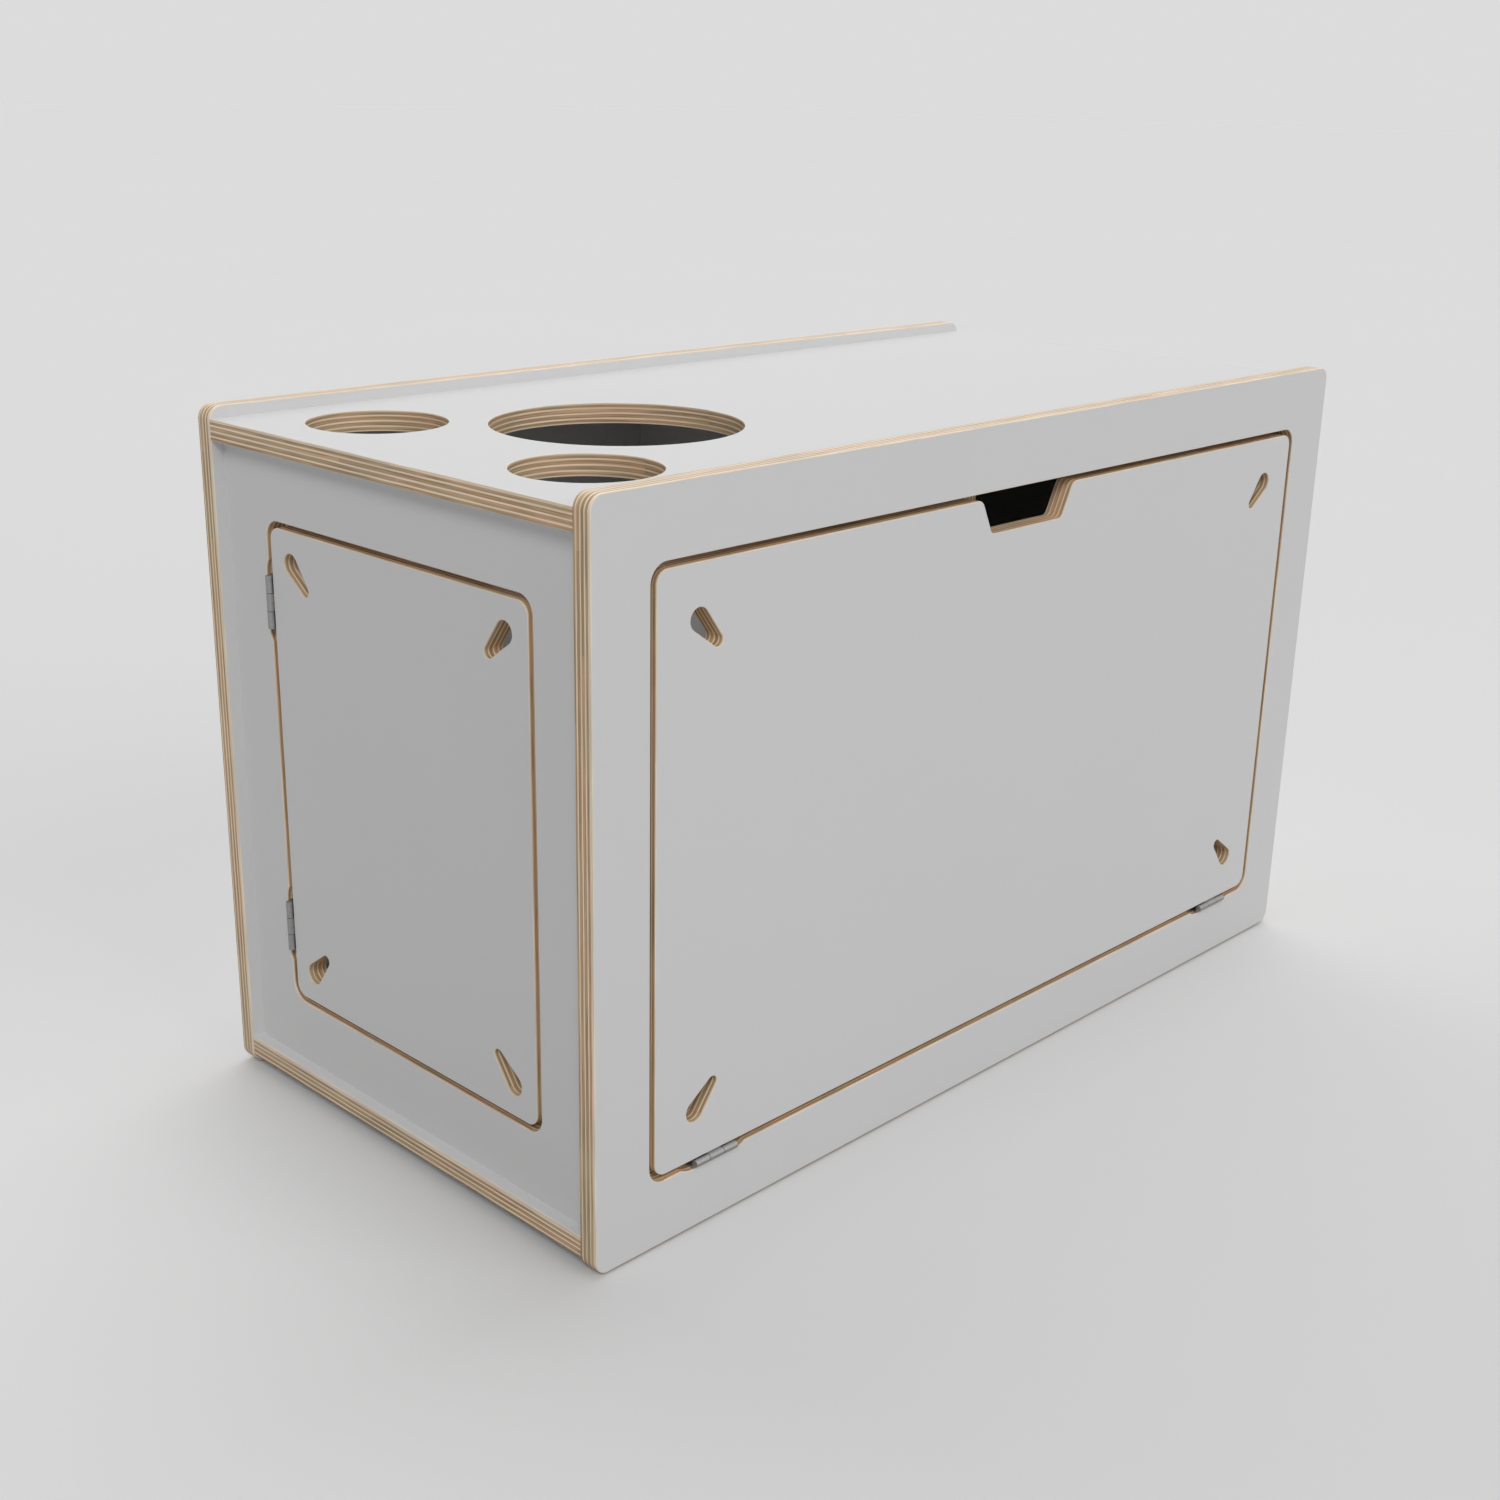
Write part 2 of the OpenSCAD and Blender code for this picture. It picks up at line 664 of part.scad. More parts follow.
module door_hinge_upper_frame_leaf() { at_door_hinge(1) frame_leaf(); }
module door_hinge_upper_door_leaf() { at_door_hinge(1) door_leaf(); }
module door_hinge_upper_pin() { at_door_hinge(1) hinge_pin(); }
module door_hinge_lower_frame_leaf() { at_door_hinge(-1) frame_leaf(); }
module door_hinge_lower_door_leaf() { at_door_hinge(-1) door_leaf(); }
module door_hinge_lower_pin() { at_door_hinge(-1) hinge_pin(); }

module flap_hinge_frame_screws() { for (s = [-1, 1]) at_flap_hinge(s) frame_leaf_screws(); }
module flap_hinge_flap_screws() { for (s = [-1, 1]) at_flap_hinge(s) door_leaf_screws(); }
module door_hinge_frame_screws() { for (s = [-1, 1]) at_door_hinge(s) frame_leaf_screws(); }
module door_hinge_door_screws() { for (s = [-1, 1]) at_door_hinge(s) door_leaf_screws(); }

module flap_catch_left_housing() { at_flap_catch(-1) catch_housing(); }
module flap_catch_left_magnet() { at_flap_catch(-1) catch_magnet(); }
module flap_catch_left_poles() { at_flap_catch(-1) catch_poles(); }
module flap_catch_right_housing() { at_flap_catch(1) catch_housing(); }
module flap_catch_right_magnet() { at_flap_catch(1) catch_magnet(); }
module flap_catch_right_poles() { at_flap_catch(1) catch_poles(); }
module door_catch_housing() { at_door_catch() catch_housing(); }
module door_catch_magnet() { at_door_catch() catch_magnet(); }
module door_catch_poles() { at_door_catch() catch_poles(); }

module flap_strike_left() { at_flap_catch(-1) strike_plate(); }
module flap_strike_right() { at_flap_catch(1) strike_plate(); }
module door_strike() { at_door_catch() strike_plate(); }
module flap_catch_screws() { for (s = [-1, 1]) at_flap_catch(s) catch_screws(); }
module door_catch_screws() { at_door_catch() catch_screws(); }
module flap_strike_screws() { for (s = [-1, 1]) at_flap_catch(s) strike_screws(); }
module door_strike_screws() { at_door_catch() strike_screws(); }

module top_dowels() { top_dowel_places() dowel(); }
module bottom_dowels() { bottom_dowel_places() dowel(); }
module left_end_dowels() { end_dowel_places(-1) dowel(); }
module right_end_dowels() { end_dowel_places(1) dowel(); }
module divider_dowels() { divider_dowel_places() dowel(); }

front_panel();
back_panel();
top_panel();
bottom_panel();
left_end_panel();
right_end_panel();
divider();
front_flap();
side_door();
flap_hinge_left_frame_leaf();
flap_hinge_left_flap_leaf();
flap_hinge_left_pin();
flap_hinge_right_frame_leaf();
flap_hinge_right_flap_leaf();
flap_hinge_right_pin();
door_hinge_upper_frame_leaf();
door_hinge_upper_door_leaf();
door_hinge_upper_pin();
door_hinge_lower_frame_leaf();
door_hinge_lower_door_leaf();
door_hinge_lower_pin();
flap_hinge_frame_screws();
flap_hinge_flap_screws();
door_hinge_frame_screws();
door_hinge_door_screws();
flap_catch_left_housing();
flap_catch_left_magnet();
flap_catch_left_poles();
flap_catch_right_housing();
flap_catch_right_magnet();
flap_catch_right_poles();
door_catch_housing();
door_catch_magnet();
door_catch_poles();
flap_strike_left();
flap_strike_right();
door_strike();
flap_catch_screws();
door_catch_screws();
flap_strike_screws();
door_strike_screws();
top_dowels();
bottom_dowels();
left_end_dowels();
right_end_dowels();
divider_dowels();
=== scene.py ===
"""Looks of a laminated plywood storage chest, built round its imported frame.

Every board is a closed surface worked out with numpy: a flat outline whose
rounded edge profile is carried round it. Hinges, catches, screws and dowels
are the frame's own parts with finished materials. The boards' sizes are in
millimetres until they reach a mesh, and other lengths name their unit.
"""

import logging
import math
from abc import ABC, abstractmethod
from dataclasses import dataclass, field
from enum import Enum
from typing import Any, Dict, List, Optional, Sequence, Tuple

import bpy
import numpy as np
from mathutils import Matrix, Vector
from mathutils.geometry import tessellate_polygon


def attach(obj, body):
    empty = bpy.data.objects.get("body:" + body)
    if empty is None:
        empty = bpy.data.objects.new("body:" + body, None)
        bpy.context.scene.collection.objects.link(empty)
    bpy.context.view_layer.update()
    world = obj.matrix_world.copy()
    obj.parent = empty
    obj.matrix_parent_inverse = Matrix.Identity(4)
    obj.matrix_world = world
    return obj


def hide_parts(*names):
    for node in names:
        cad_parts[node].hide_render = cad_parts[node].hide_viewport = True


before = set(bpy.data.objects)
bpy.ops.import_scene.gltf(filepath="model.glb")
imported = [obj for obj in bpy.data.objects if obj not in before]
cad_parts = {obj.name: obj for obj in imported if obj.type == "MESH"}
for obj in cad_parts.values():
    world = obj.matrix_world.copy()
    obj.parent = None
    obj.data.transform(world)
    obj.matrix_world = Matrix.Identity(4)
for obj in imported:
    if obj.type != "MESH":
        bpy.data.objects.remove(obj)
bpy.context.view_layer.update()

log = logging.getLogger("chest")

MM = 0.001
EDGE_UV = "EdgeMap"
PLY_SHIFT = "ply_shift"
BOARD_THICKNESS = 12.0

# Points nearer than this, in millimetres, are one point.
SAME_POINT = 1e-4
# A point this near to a side, in millimetres, lies on it.
ON_SIDE = 1e-3
# Two sides that meet at an angle with a smaller sine are in one line.
IN_LINE = 1e-3
# Edges that turn by more than this, in degrees, look sharp.
SHARP_TURN = 25
# Smooth noise lies mostly between these values.
MOST_NOISE = (0.3, 0.7)

Triple = Tuple[float, float, float]
Colour = Triple
Range = Tuple[float, float]
Points = np.ndarray
Socket = bpy.types.NodeSocket


class Facing(Enum):
    """How a board lies: its own right, up and depth directions."""

    FRONT = ((1, 0, 0), (0, 0, 1), (0, 1, 0))
    END = ((0, 1, 0), (0, 0, 1), (1, 0, 0))
    DECK = ((1, 0, 0), (0, 1, 0), (0, 0, 1))


class Side(Enum):
    """A side of a board's outline: the axis it bounds, and its sign."""

    LEFT = (0, -1)
    RIGHT = (0, 1)
    BOTTOM = (1, -1)
    TOP = (1, 1)


class Skin(Enum):
    """What part of a board's mesh shows, by the number of its material slot."""

    FACE = 0
    EDGE = 1


# ---- outlines ----


def arc(
    centre: Tuple[float, float], radius: float, start: float, end: float, steps: int
) -> Points:
    """Points on a circle: its centre plus radius times the cosine and sine.

    Args:
        centre: Middle of the circle.
        radius: Its radius.
        start: First angle, in degrees, anticlockwise from the right.
        end: Last angle.
        steps: How many chords the arc has.

    Returns:
        One row for each point.
    """
    turn = np.radians(np.linspace(start, end, steps + 1))
    spokes = np.stack([np.cos(turn), np.sin(turn)], axis=1)
    return np.asarray(centre) + radius * spokes


def joined(pieces: Sequence[Points]) -> Points:
    """One closed loop from the pieces, with no point twice in a row.

    Args:
        pieces: Stretches of the loop, in order.

    Returns:
        The loop's points.
    """
    loop = np.concatenate(pieces)
    gap = np.linalg.norm(loop - np.roll(loop, 1, axis=0), axis=1)
    return loop[gap > SAME_POINT]


def circle(centre: Tuple[float, float], diameter: float, steps: int) -> Points:
    """A full circle as a closed loop, anticlockwise."""
    return joined([arc(centre, diameter / 2, 0, 360, steps)])


def turned(points: Points, quarter_turns: int) -> Points:
    """Points turned about the origin by quarter turns, anticlockwise."""
    cosine, sine = ((1, 0), (0, 1), (-1, 0), (0, -1))[quarter_turns % 4]
    return points @ np.array([[cosine, sine], [-sine, cosine]], float)


def rounded_rectangle(
    width: float,
    height: float,
    radius: float = 0.0,
    steps: int = 16,
    features: Optional[Dict[Side, Points]] = None,
) -> Points:
    """A rectangle with quarter circles for corners, anticlockwise.

    Args:
        width: Size from left to right.
        height: Size from bottom to top.
        radius: Radius of the corners, or 0 for sharp ones.
        steps: Chords in each corner.
        features: Points to run through on a side, in the loop's order.

    Returns:
        The closed loop, starting at the left end of the bottom side.
    """
    features = features or {}
    half_w, half_h = width / 2 - radius, height / 2 - radius
    corners = ((1, -1), (1, 1), (-1, 1), (-1, -1))
    order = (Side.BOTTOM, Side.RIGHT, Side.TOP, Side.LEFT)
    pieces: List[Points] = []
    for index, (side, (sx, sy)) in enumerate(zip(order, corners)):
        if side in features:
            pieces.append(features[side])
        start = 90 * index - 90
        centre = (sx * half_w, sy * half_h)
        pieces.append(arc(centre, radius, start, start + 90, steps if radius else 0))
    return joined(pieces)


def mitres(loop: Points, easing: Points) -> Points:
    """How each corner moves when its two sides move to their left.

    Each side's line moves by its own easing, and the corner goes to where
    the two moved lines meet. Between sides in one line it moves straight
    across them.

    Args:
        loop: The closed loop's points.
        easing: How far the side after each point moves.

    Returns:
        One movement for each point.
    """
    side = np.roll(loop, -1, axis=0) - loop
    side /= np.linalg.norm(side, axis=1)[:, None]
    left = np.stack([-side[:, 1], side[:, 0]], axis=1)
    before = np.roll(left, 1, axis=0)
    reach = np.roll(easing, 1)
    cross = before[:, 0] * left[:, 1] - before[:, 1] * left[:, 0]
    straight = np.abs(cross) < IN_LINE
    safe = np.where(straight, 1.0, cross)
    x = (reach * left[:, 1] - easing * before[:, 1]) / safe
    y = (easing * before[:, 0] - reach * left[:, 0]) / safe
    return np.where(straight[:, None], left * easing[:, None], np.stack([x, y], axis=1))


@dataclass(frozen=True)
class HingePocket:
    """The round-ended pocket that a cutter mills in an opening's edge.

    Attributes:
        floor_length: Length of its flat floor.
        depth: How far the floor lies below the edge.
        cutter_radius: Radius of its two ends.
        steps: Chords in each end.
    """

    floor_length: float = 31.0
    depth: float = 2.2
    cutter_radius: float = 15.0
    steps: int = 10

    def path(self, middle: float, edge: float) -> Points:
        """Points along a bottom side, from left to right.

        The ends are arcs of the cutter's circle, from the edge's level down
        to the flat floor.

        Args:
            middle: Where the pocket is centred along the side.
            edge: How far the side lies from the outline's middle.

        Returns:
            One row for each point.
        """
        lift = math.degrees(math.asin(1 - self.depth / self.cutter_radius))
        centre_y = -edge - self.depth + self.cutter_radius
        left = middle - self.floor_length / 2
        right = middle + self.floor_length / 2
        return np.concatenate(
            [
                arc((left, centre_y), self.cutter_radius, 180 + lift, 270, self.steps),
                arc((right, centre_y), self.cutter_radius, 270, 360 - lift, self.steps),
            ]
        )


@dataclass(frozen=True)
class CordSlot:
    """A teardrop slot: a wide end for a knot and a narrow end that holds it.

    Attributes:
        wide_radius: Radius of the wide end.
        narrow_radius: Radius of the narrow end.
        reach: Between the two ends' middles, along either edge of the door.
        steps: Chords in the narrow end, and half of those in the wide one.
    """

    wide_radius: float = 6.1
    narrow_radius: float = 3.3
    reach: float = 12.4
    steps: int = 20

    def outline(self, corner: Tuple[int, int], width: float, height: float, inset: float) -> Points:
        """The slot in one corner of a door, anticlockwise.

        Two arcs joined by their common tangents, with the wide end near the
        corner and the narrow end on the diagonal towards the middle.

        Args:
            corner: Signs of the corner, right and up.
            width: The door's width.
            height: The door's height.
            inset: Middle of the wide end to the door's two edges.

        Returns:
            The closed loop.
        """
        sx, sy = corner
        wide = np.array([sx * (width / 2 - inset), sy * (height / 2 - inset)])
        narrow = wide - self.reach * np.array([sx, sy])
        length = self.reach * math.sqrt(2)
        tangent = math.degrees(math.acos((self.wide_radius - self.narrow_radius) / length))
        aim = math.degrees(math.atan2(-sy, -sx))
        return joined(
            [
                arc(tuple(narrow), self.narrow_radius, aim - tangent, aim + tangent, self.steps),
                arc(tuple(wide), self.wide_radius, aim + tangent, aim + 360 - tangent, self.steps * 2),
            ]
        )


@dataclass(frozen=True)
class FingerNotch:
    """The trapezoid notch in the flap's top edge, with rounded corners.

    Attributes:
        depth: How far it reaches down from the edge.
        floor_width: Its width at the floor, between the sharp corners.
        mouth_width: Its width at the edge, between the sharp corners.
        floor_radius: Radius of the two corners at the floor.
        mouth_radius: Radius of the two corners at the edge.
        steps: Chords in each corner.
    """

    depth: float = 20.0
    floor_width: float = 64.4
    mouth_width: float = 84.0
    floor_radius: float = 4.0
    mouth_radius: float = 6.0
    steps: int = 10

    def path(self, edge: float) -> Points:
        """Points along a top side, from right to left.

        Each mouth corner is an arc that bulges into the notch, and each
        floor corner one that hollows the door, both tangent to the slope.

        Args:
            edge: How far the side lies from the outline's middle.

        Returns:
            One row for each point.
        """
        lean = math.atan2((self.mouth_width - self.floor_width) / 2, self.depth)
        slope = math.degrees(lean)
        spread = 1 / math.cos(lean) - math.tan(lean)
        mouth_x = self.mouth_width / 2 + self.mouth_radius * spread
        floor_x = self.floor_width / 2 - self.floor_radius * spread
        mouth_y = edge - self.mouth_radius
        floor_y = edge - self.depth + self.floor_radius
        right = np.concatenate(
            [
                arc((mouth_x, mouth_y), self.mouth_radius, 90, 180 - slope, self.steps),
                arc((floor_x, floor_y), self.floor_radius, -slope, -90, self.steps),
            ]
        )
        return np.concatenate([right, right[::-1] * np.array([-1.0, 1.0])])


# ---- boards ----


@dataclass(frozen=True)
class Recess:
    """A shallow rectangular recess in a board's inner face.

    Attributes:
        centre: Its middle, right and up from the board's own.
        size: Its width and height.
        depth: How deep it is cut.
    """

    centre: Tuple[float, float]
    size: Tuple[float, float]
    depth: float


@dataclass
class Board:
    """One board: a flat outline with holes, given a thickness.

    Attributes:
        name: The piece's name.
        node: The frame's part that it stands for.
        body: The body that it rides on.
        facing: How the board lies.
        middle: Centre of the outline in its own right and up directions.
        start: Where its first face lies along its depth direction.
        outline: The outer loop about the middle, anticlockwise.
        holes: Loops right through the board, anticlockwise.
        butted: Sides that meet another board and keep sharp edges.
        recesses: Recesses in the second face.
        thickness: From the first face to the second.
        ease: Radius of the eased edges.
        ease_steps: Chords across an eased edge.
        outline_shift: How far the plies on the outer edges are off centre.
    """

    name: str
    node: str
    body: str
    facing: Facing
    middle: Tuple[float, float]
    start: float
    outline: Points
    holes: List[Points] = field(default_factory=list)
    butted: Tuple[Side, ...] = ()
    recesses: List[Recess] = field(default_factory=list)
    thickness: float = BOARD_THICKNESS
    ease: float = 0.4
    ease_steps: int = 3
    outline_shift: float = 0.0

    def profile(self) -> Tuple[Points, Points]:
        """The edge's profile, from the first face to the second.

        A quarter circle rolls off each face: one minus the sine of the angle
        is the inset, and one minus its cosine the depth.

        Returns:
            The inset as a share of the easing, and the depth.
        """
        turn = np.radians(np.linspace(0, 90, self.ease_steps + 1))
        inset = 1 - np.sin(turn)
        depth = self.ease * (1 - np.cos(turn))
        there_and_back = np.concatenate([inset, inset[::-1]])
        return there_and_back, np.concatenate([depth, self.thickness - depth[::-1]])

    def easing(self, loop: Points) -> Points:
        """How much each side of the outline is eased: nothing where it's butted.

        Args:
            loop: The outline.

        Returns:
            The easing of the side after each point, in millimetres.
        """
        ends = np.stack([loop, np.roll(loop, -1, axis=0)])
        eased = np.full(len(loop), self.ease)
        for side in self.butted:
            axis, sign = side.value
            limit = (sign * loop[:, axis]).max()
            eased[(sign * ends[:, :, axis] > limit - ON_SIDE).all(axis=0)] = 0.0
        return eased

    def build(self) -> bpy.types.Object:
        """Makes the board's mesh and object.

        Each loop gives a grid of rings, one for each point of the profile,
        and the two faces are filled between the outer rings. Local
        directions are right, up and depth, and turn into the chest's own
        at the end.

        Returns:
            The object, at the origin.
        """
        surface = Surface()
        inset, depth = self.profile()
        rings: List[Tuple[Points, Points]] = []
        loops = [(self.outline, self.easing(self.outline), self.outline_shift)]
        loops += [(hole[::-1], np.full(len(hole), self.ease), 0.0) for hole in self.holes]
        for loop, easing, shift in loops:
            flat = loop + inset[:, None, None] * mitres(loop, easing)
            rows = self.ring_rows(flat, depth)
            index = surface.wall(rows, depth, shift, self.ease_steps)
            rings.append((index[0], index[-1]))
        far = [last for _, last in rings]
        for recess in self.recesses:
            rim = rounded_rectangle(*recess.size)[::-1] + np.asarray(recess.centre)
            levels = np.array([self.thickness - recess.depth, self.thickness])
            index = surface.wall(self.ring_rows(np.stack([rim, rim]), levels), levels, 0.0, 0)
            surface.fill([index[0]], upwards=True, skin=Skin.EDGE)
            far.append(index[-1])
        surface.fill([first for first, _ in rings], upwards=False, skin=Skin.FACE)
        surface.fill(far, upwards=True, skin=Skin.FACE)
        right, up, inward = (np.array(direction, float) for direction in self.facing.value)
        place = np.stack([right, up, inward])
        shift = self.middle[0] * right + self.middle[1] * up + self.start * inward
        return surface.to_object(self.name, place, shift)

    @staticmethod
    def ring_rows(flat: Points, depth: Points) -> Points:
        """Rings of flat points, each lifted to its own depth."""
        lifted = np.broadcast_to(depth[:, None, None], flat.shape[:2] + (1,))
        return np.concatenate([flat, lifted], axis=2)


class Surface:
    """Collects the grids and fills of one closed mesh."""

    def __init__(self) -> None:
        """Starts with no points and no faces."""
        self.points = np.zeros((0, 3))
        self.faces: List[List[int]] = []
        self.maps: List[Points] = []
        self.materials: List[Points] = []
        self.shifts: List[Points] = []
        self.creases: List[Points] = []

    def wall(self, rows: Points, depth: Points, shift: float, ease_steps: int) -> Points:
        """Adds closed rings joined by quads.

        The quad after point i of ring k takes points i and i + 1 of rings k
        and k + 1, and the last point joins the first. Across the map runs
        the length along the ring, and up it the depth in the board.

        Args:
            rows: Rings by points by three coordinates.
            depth: Depth of each ring.
            shift: How far the plies are off centre.
            ease_steps: Chords across each eased edge, whose borders are creased.

        Returns:
            The index of each point, ring by ring.
        """
        rings, count = rows.shape[:2]
        index = len(self.points) + np.arange(rings * count).reshape(rings, count)
        self.points = np.concatenate([self.points, rows.reshape(-1, 3)])
        along = np.roll(index, -1, axis=1)
        quads = np.stack([index[:-1], along[:-1], along[1:], index[1:]], axis=2).reshape(-1, 4)
        widest = rows[rings // 2, :, :2]
        steps = np.linalg.norm(np.roll(widest, -1, axis=0) - widest, axis=1)
        begin = np.concatenate([[0.0], np.cumsum(steps)[:-1]])
        across = np.stack([begin, begin + steps, begin + steps, begin], axis=1)
        upwards = np.stack([depth[:-1], depth[:-1], depth[1:], depth[1:]], axis=1)
        grid = np.stack(np.broadcast_arrays(across[None], upwards[:, None]), axis=3)
        self.add(quads, grid.reshape(-1, 4, 2), Skin.EDGE, shift)
        borders = sorted({0, ease_steps, rings - 1 - ease_steps, rings - 1})
        self.creases += [np.stack([index[ring], along[ring]], axis=1) for ring in borders]
        return index

    def fill(self, rings: Sequence[Points], upwards: bool, skin: Skin) -> None:
        """Fills the flat area between rings with triangles.

        Args:
            rings: Point indices of the outer ring and of each hole's ring.
            upwards: Whether the faces look along the depth.
            skin: What the area shows.
        """
        order = np.concatenate(rings)
        flat = self.points[order][:, :2]
        loops = [[Vector((x, y, 0.0)) for x, y in self.points[ring][:, :2]] for ring in rings]
        triangles = np.array(tessellate_polygon(loops), int).reshape(-1, 3)
        first, second, third = (flat[triangles[:, corner]] for corner in range(3))
        one = second - first
        other = third - first
        area = one[:, 0] * other[:, 1] - one[:, 1] * other[:, 0]
        wrong = (area > 0) != upwards
        triangles[wrong] = triangles[wrong][:, ::-1]
        self.add(order[triangles], flat[triangles], skin, 0.0)

    def add(self, faces: Points, grid: Points, skin: Skin, shift: float) -> None:
        """Adds faces with their map corners, material and ply shift.

        Args:
            faces: Point indices, one row for each face.
            grid: The map's coordinates of each face's corners.
            skin: What the faces show.
            shift: How far the plies are off centre.
        """
        self.faces += faces.tolist()
        self.maps.append(grid.reshape(-1, 2))
        self.materials.append(np.full(len(faces), skin.value, np.int32))
        self.shifts.append(np.full(len(faces), shift, np.float32))

    def to_object(self, name: str, place: Points, shift: Points) -> bpy.types.Object:
        """Writes the mesh, in metres and in the chest's directions.

        Args:
            name: Name of the mesh and of its object.
            place: The board's right, up and depth directions, one a row.
            shift: Where the board's own origin goes, in millimetres.

        Returns:
            The object, linked to the scene.
        """
        mesh = bpy.data.meshes.new(name)
        mesh.from_pydata(((self.points @ place + shift) * MM).tolist(), [], self.faces)
        layer = mesh.uv_layers.new(name=EDGE_UV)
        layer.data.foreach_set("uv", (np.concatenate(self.maps) * MM).astype(np.float32).ravel())
        mesh.polygons.foreach_set("material_index", np.concatenate(self.materials))
        plies = mesh.attributes.new(PLY_SHIFT, "FLOAT", "FACE")
        plies.data.foreach_set("value", np.concatenate(self.shifts) * np.float32(MM))
        mesh.polygons.foreach_set("use_smooth", np.ones(len(self.faces), bool))
        if np.linalg.det(place) < 0:
            mesh.flip_normals()
        mesh.update()
        mesh.set_sharp_from_angle(angle=math.radians(SHARP_TURN))
        self.crease(mesh)
        item = bpy.data.objects.new(name, mesh)
        bpy.context.scene.collection.objects.link(item)
        return item

    def crease(self, mesh: bpy.types.Mesh) -> None:
        """Marks the borders of eased edges sharp, so that flat faces stay flat.

        Args:
            mesh: The finished mesh.
        """
        ends = np.zeros(len(mesh.edges) * 2, np.int32)
        mesh.edges.foreach_get("vertices", ends)
        count = len(self.points)
        ends = np.sort(ends.reshape(-1, 2), axis=1).astype(np.int64)
        borders = np.sort(np.concatenate(self.creases), axis=1)
        creased = np.isin(ends[:, 0] * count + ends[:, 1], borders[:, 0] * count + borders[:, 1])
        sharp = np.zeros(len(mesh.edges), bool)
        mesh.edges.foreach_get("use_edge_sharp", sharp)
        mesh.edges.foreach_set("use_edge_sharp", sharp | creased)


# ---- materials ----


class Graph:
    """A node tree filled by short calls."""

    def __init__(self, tree: bpy.types.NodeTree) -> None:
        """Keeps the tree that the calls fill."""
        self.tree = tree

    def node(self, kind: str, inputs: Optional[Dict[Any, Any]] = None, **settings: Any) -> bpy.types.Node:
        """Adds a node.

        Args:
            kind: Its type, after the word ShaderNode.
            inputs: Values or sockets for its inputs, by name or number.
            **settings: Its other properties.

        Returns:
            The node.
        """
        made = self.tree.nodes.new("ShaderNode" + kind)
        for key, value in settings.items():
            setattr(made, key, value)
        for key, value in (inputs or {}).items():
            self.feed(made.inputs[key], value)
        return made

    def feed(self, socket: Socket, value: Any) -> None:
        """Links an input to an output, or sets its value.

        Args:
            socket: The input.
            value: The output or the plain value.
        """
        if isinstance(value, Socket):
            self.tree.links.new(value, socket)
        elif socket.type == "RGBA" and len(value) == 3:
            socket.default_value = (*value, 1.0)
        else:
            socket.default_value = value

    def math(self, operation: str, *values: Any) -> Socket:
        """A Math node's result."""
        return self.node("Math", dict(enumerate(values)), operation=operation).outputs[0]

    def mix(self, factor: Any, first: Any, second: Any, blend: str = "MIX") -> Socket:
        """A colour mix of two colours."""
        inputs = {0: factor, 6: first, 7: second}
        return self.node("Mix", inputs, data_type="RGBA", blend_type=blend).outputs[2]

    def span(self, value: Any, source: Range, target: Tuple[Any, Any] = (0.0, 1.0)) -> Socket:
        """A smooth step that takes one range to another."""
        ends = dict(zip(("From Min", "From Max", "To Min", "To Max"), (*source, *target)))
        return self.node("MapRange", {"Value": value, **ends}, interpolation_type="SMOOTHSTEP").outputs[0]

    def stretched(self, vector: Any, scale: Any) -> Socket:
        """A vector with each coordinate scaled by its own factor."""
        return self.node("VectorMath", {0: vector, 1: scale}, operation="MULTIPLY").outputs[0]

    def noise(self, vector: Any, scale: Any, detail: float = 2.0) -> Socket:
        """Smooth noise, from 0 to 1."""
        return self.node("TexNoise", {"Vector": vector, "Scale": scale, "Detail": detail}).outputs[0]

    def grey(self, value: Any) -> Socket:
        """A grey colour from one value."""
        return self.node("CombineColor", {0: value, 1: value, 2: value}).outputs[0]

    def scaled(self, colour: Any, value: Any) -> Socket:
        """A colour times a value."""
        return self.mix(1.0, colour, self.grey(value), "MULTIPLY")

    def bump(self, height: Any, strength: float, distance: float) -> Socket:
        """A normal disturbed by a height."""
        return self.node("Bump", {"Height": height, "Strength": strength, "Distance": distance}).outputs[0]


def group(
    name: str, vectors: Sequence[str], numbers: Sequence[str], outputs: Sequence[str]
) -> Tuple[bpy.types.NodeTree, Graph, Any, Any]:
    """Starts a shared effect.

    Args:
        name: Name of the node group.
        vectors: Names of its vector inputs.
        numbers: Names of its number inputs.
        outputs: Names of its results, which are numbers.

    Returns:
        The tree, its graph, its input node's sockets and its output node's.
    """
    tree = bpy.data.node_groups.new(name, "ShaderNodeTree")
    for key in vectors:
        tree.interface.new_socket(name=key, in_out="INPUT", socket_type="NodeSocketVector")
    for key in numbers:
        tree.interface.new_socket(name=key, in_out="INPUT", socket_type="NodeSocketFloat")
    for key in outputs:
        tree.interface.new_socket(name=key, in_out="OUTPUT", socket_type="NodeSocketFloat")
    source = tree.nodes.new("NodeGroupInput")
    sink = tree.nodes.new("NodeGroupOutput")
    return tree, Graph(tree), source.outputs, sink.inputs


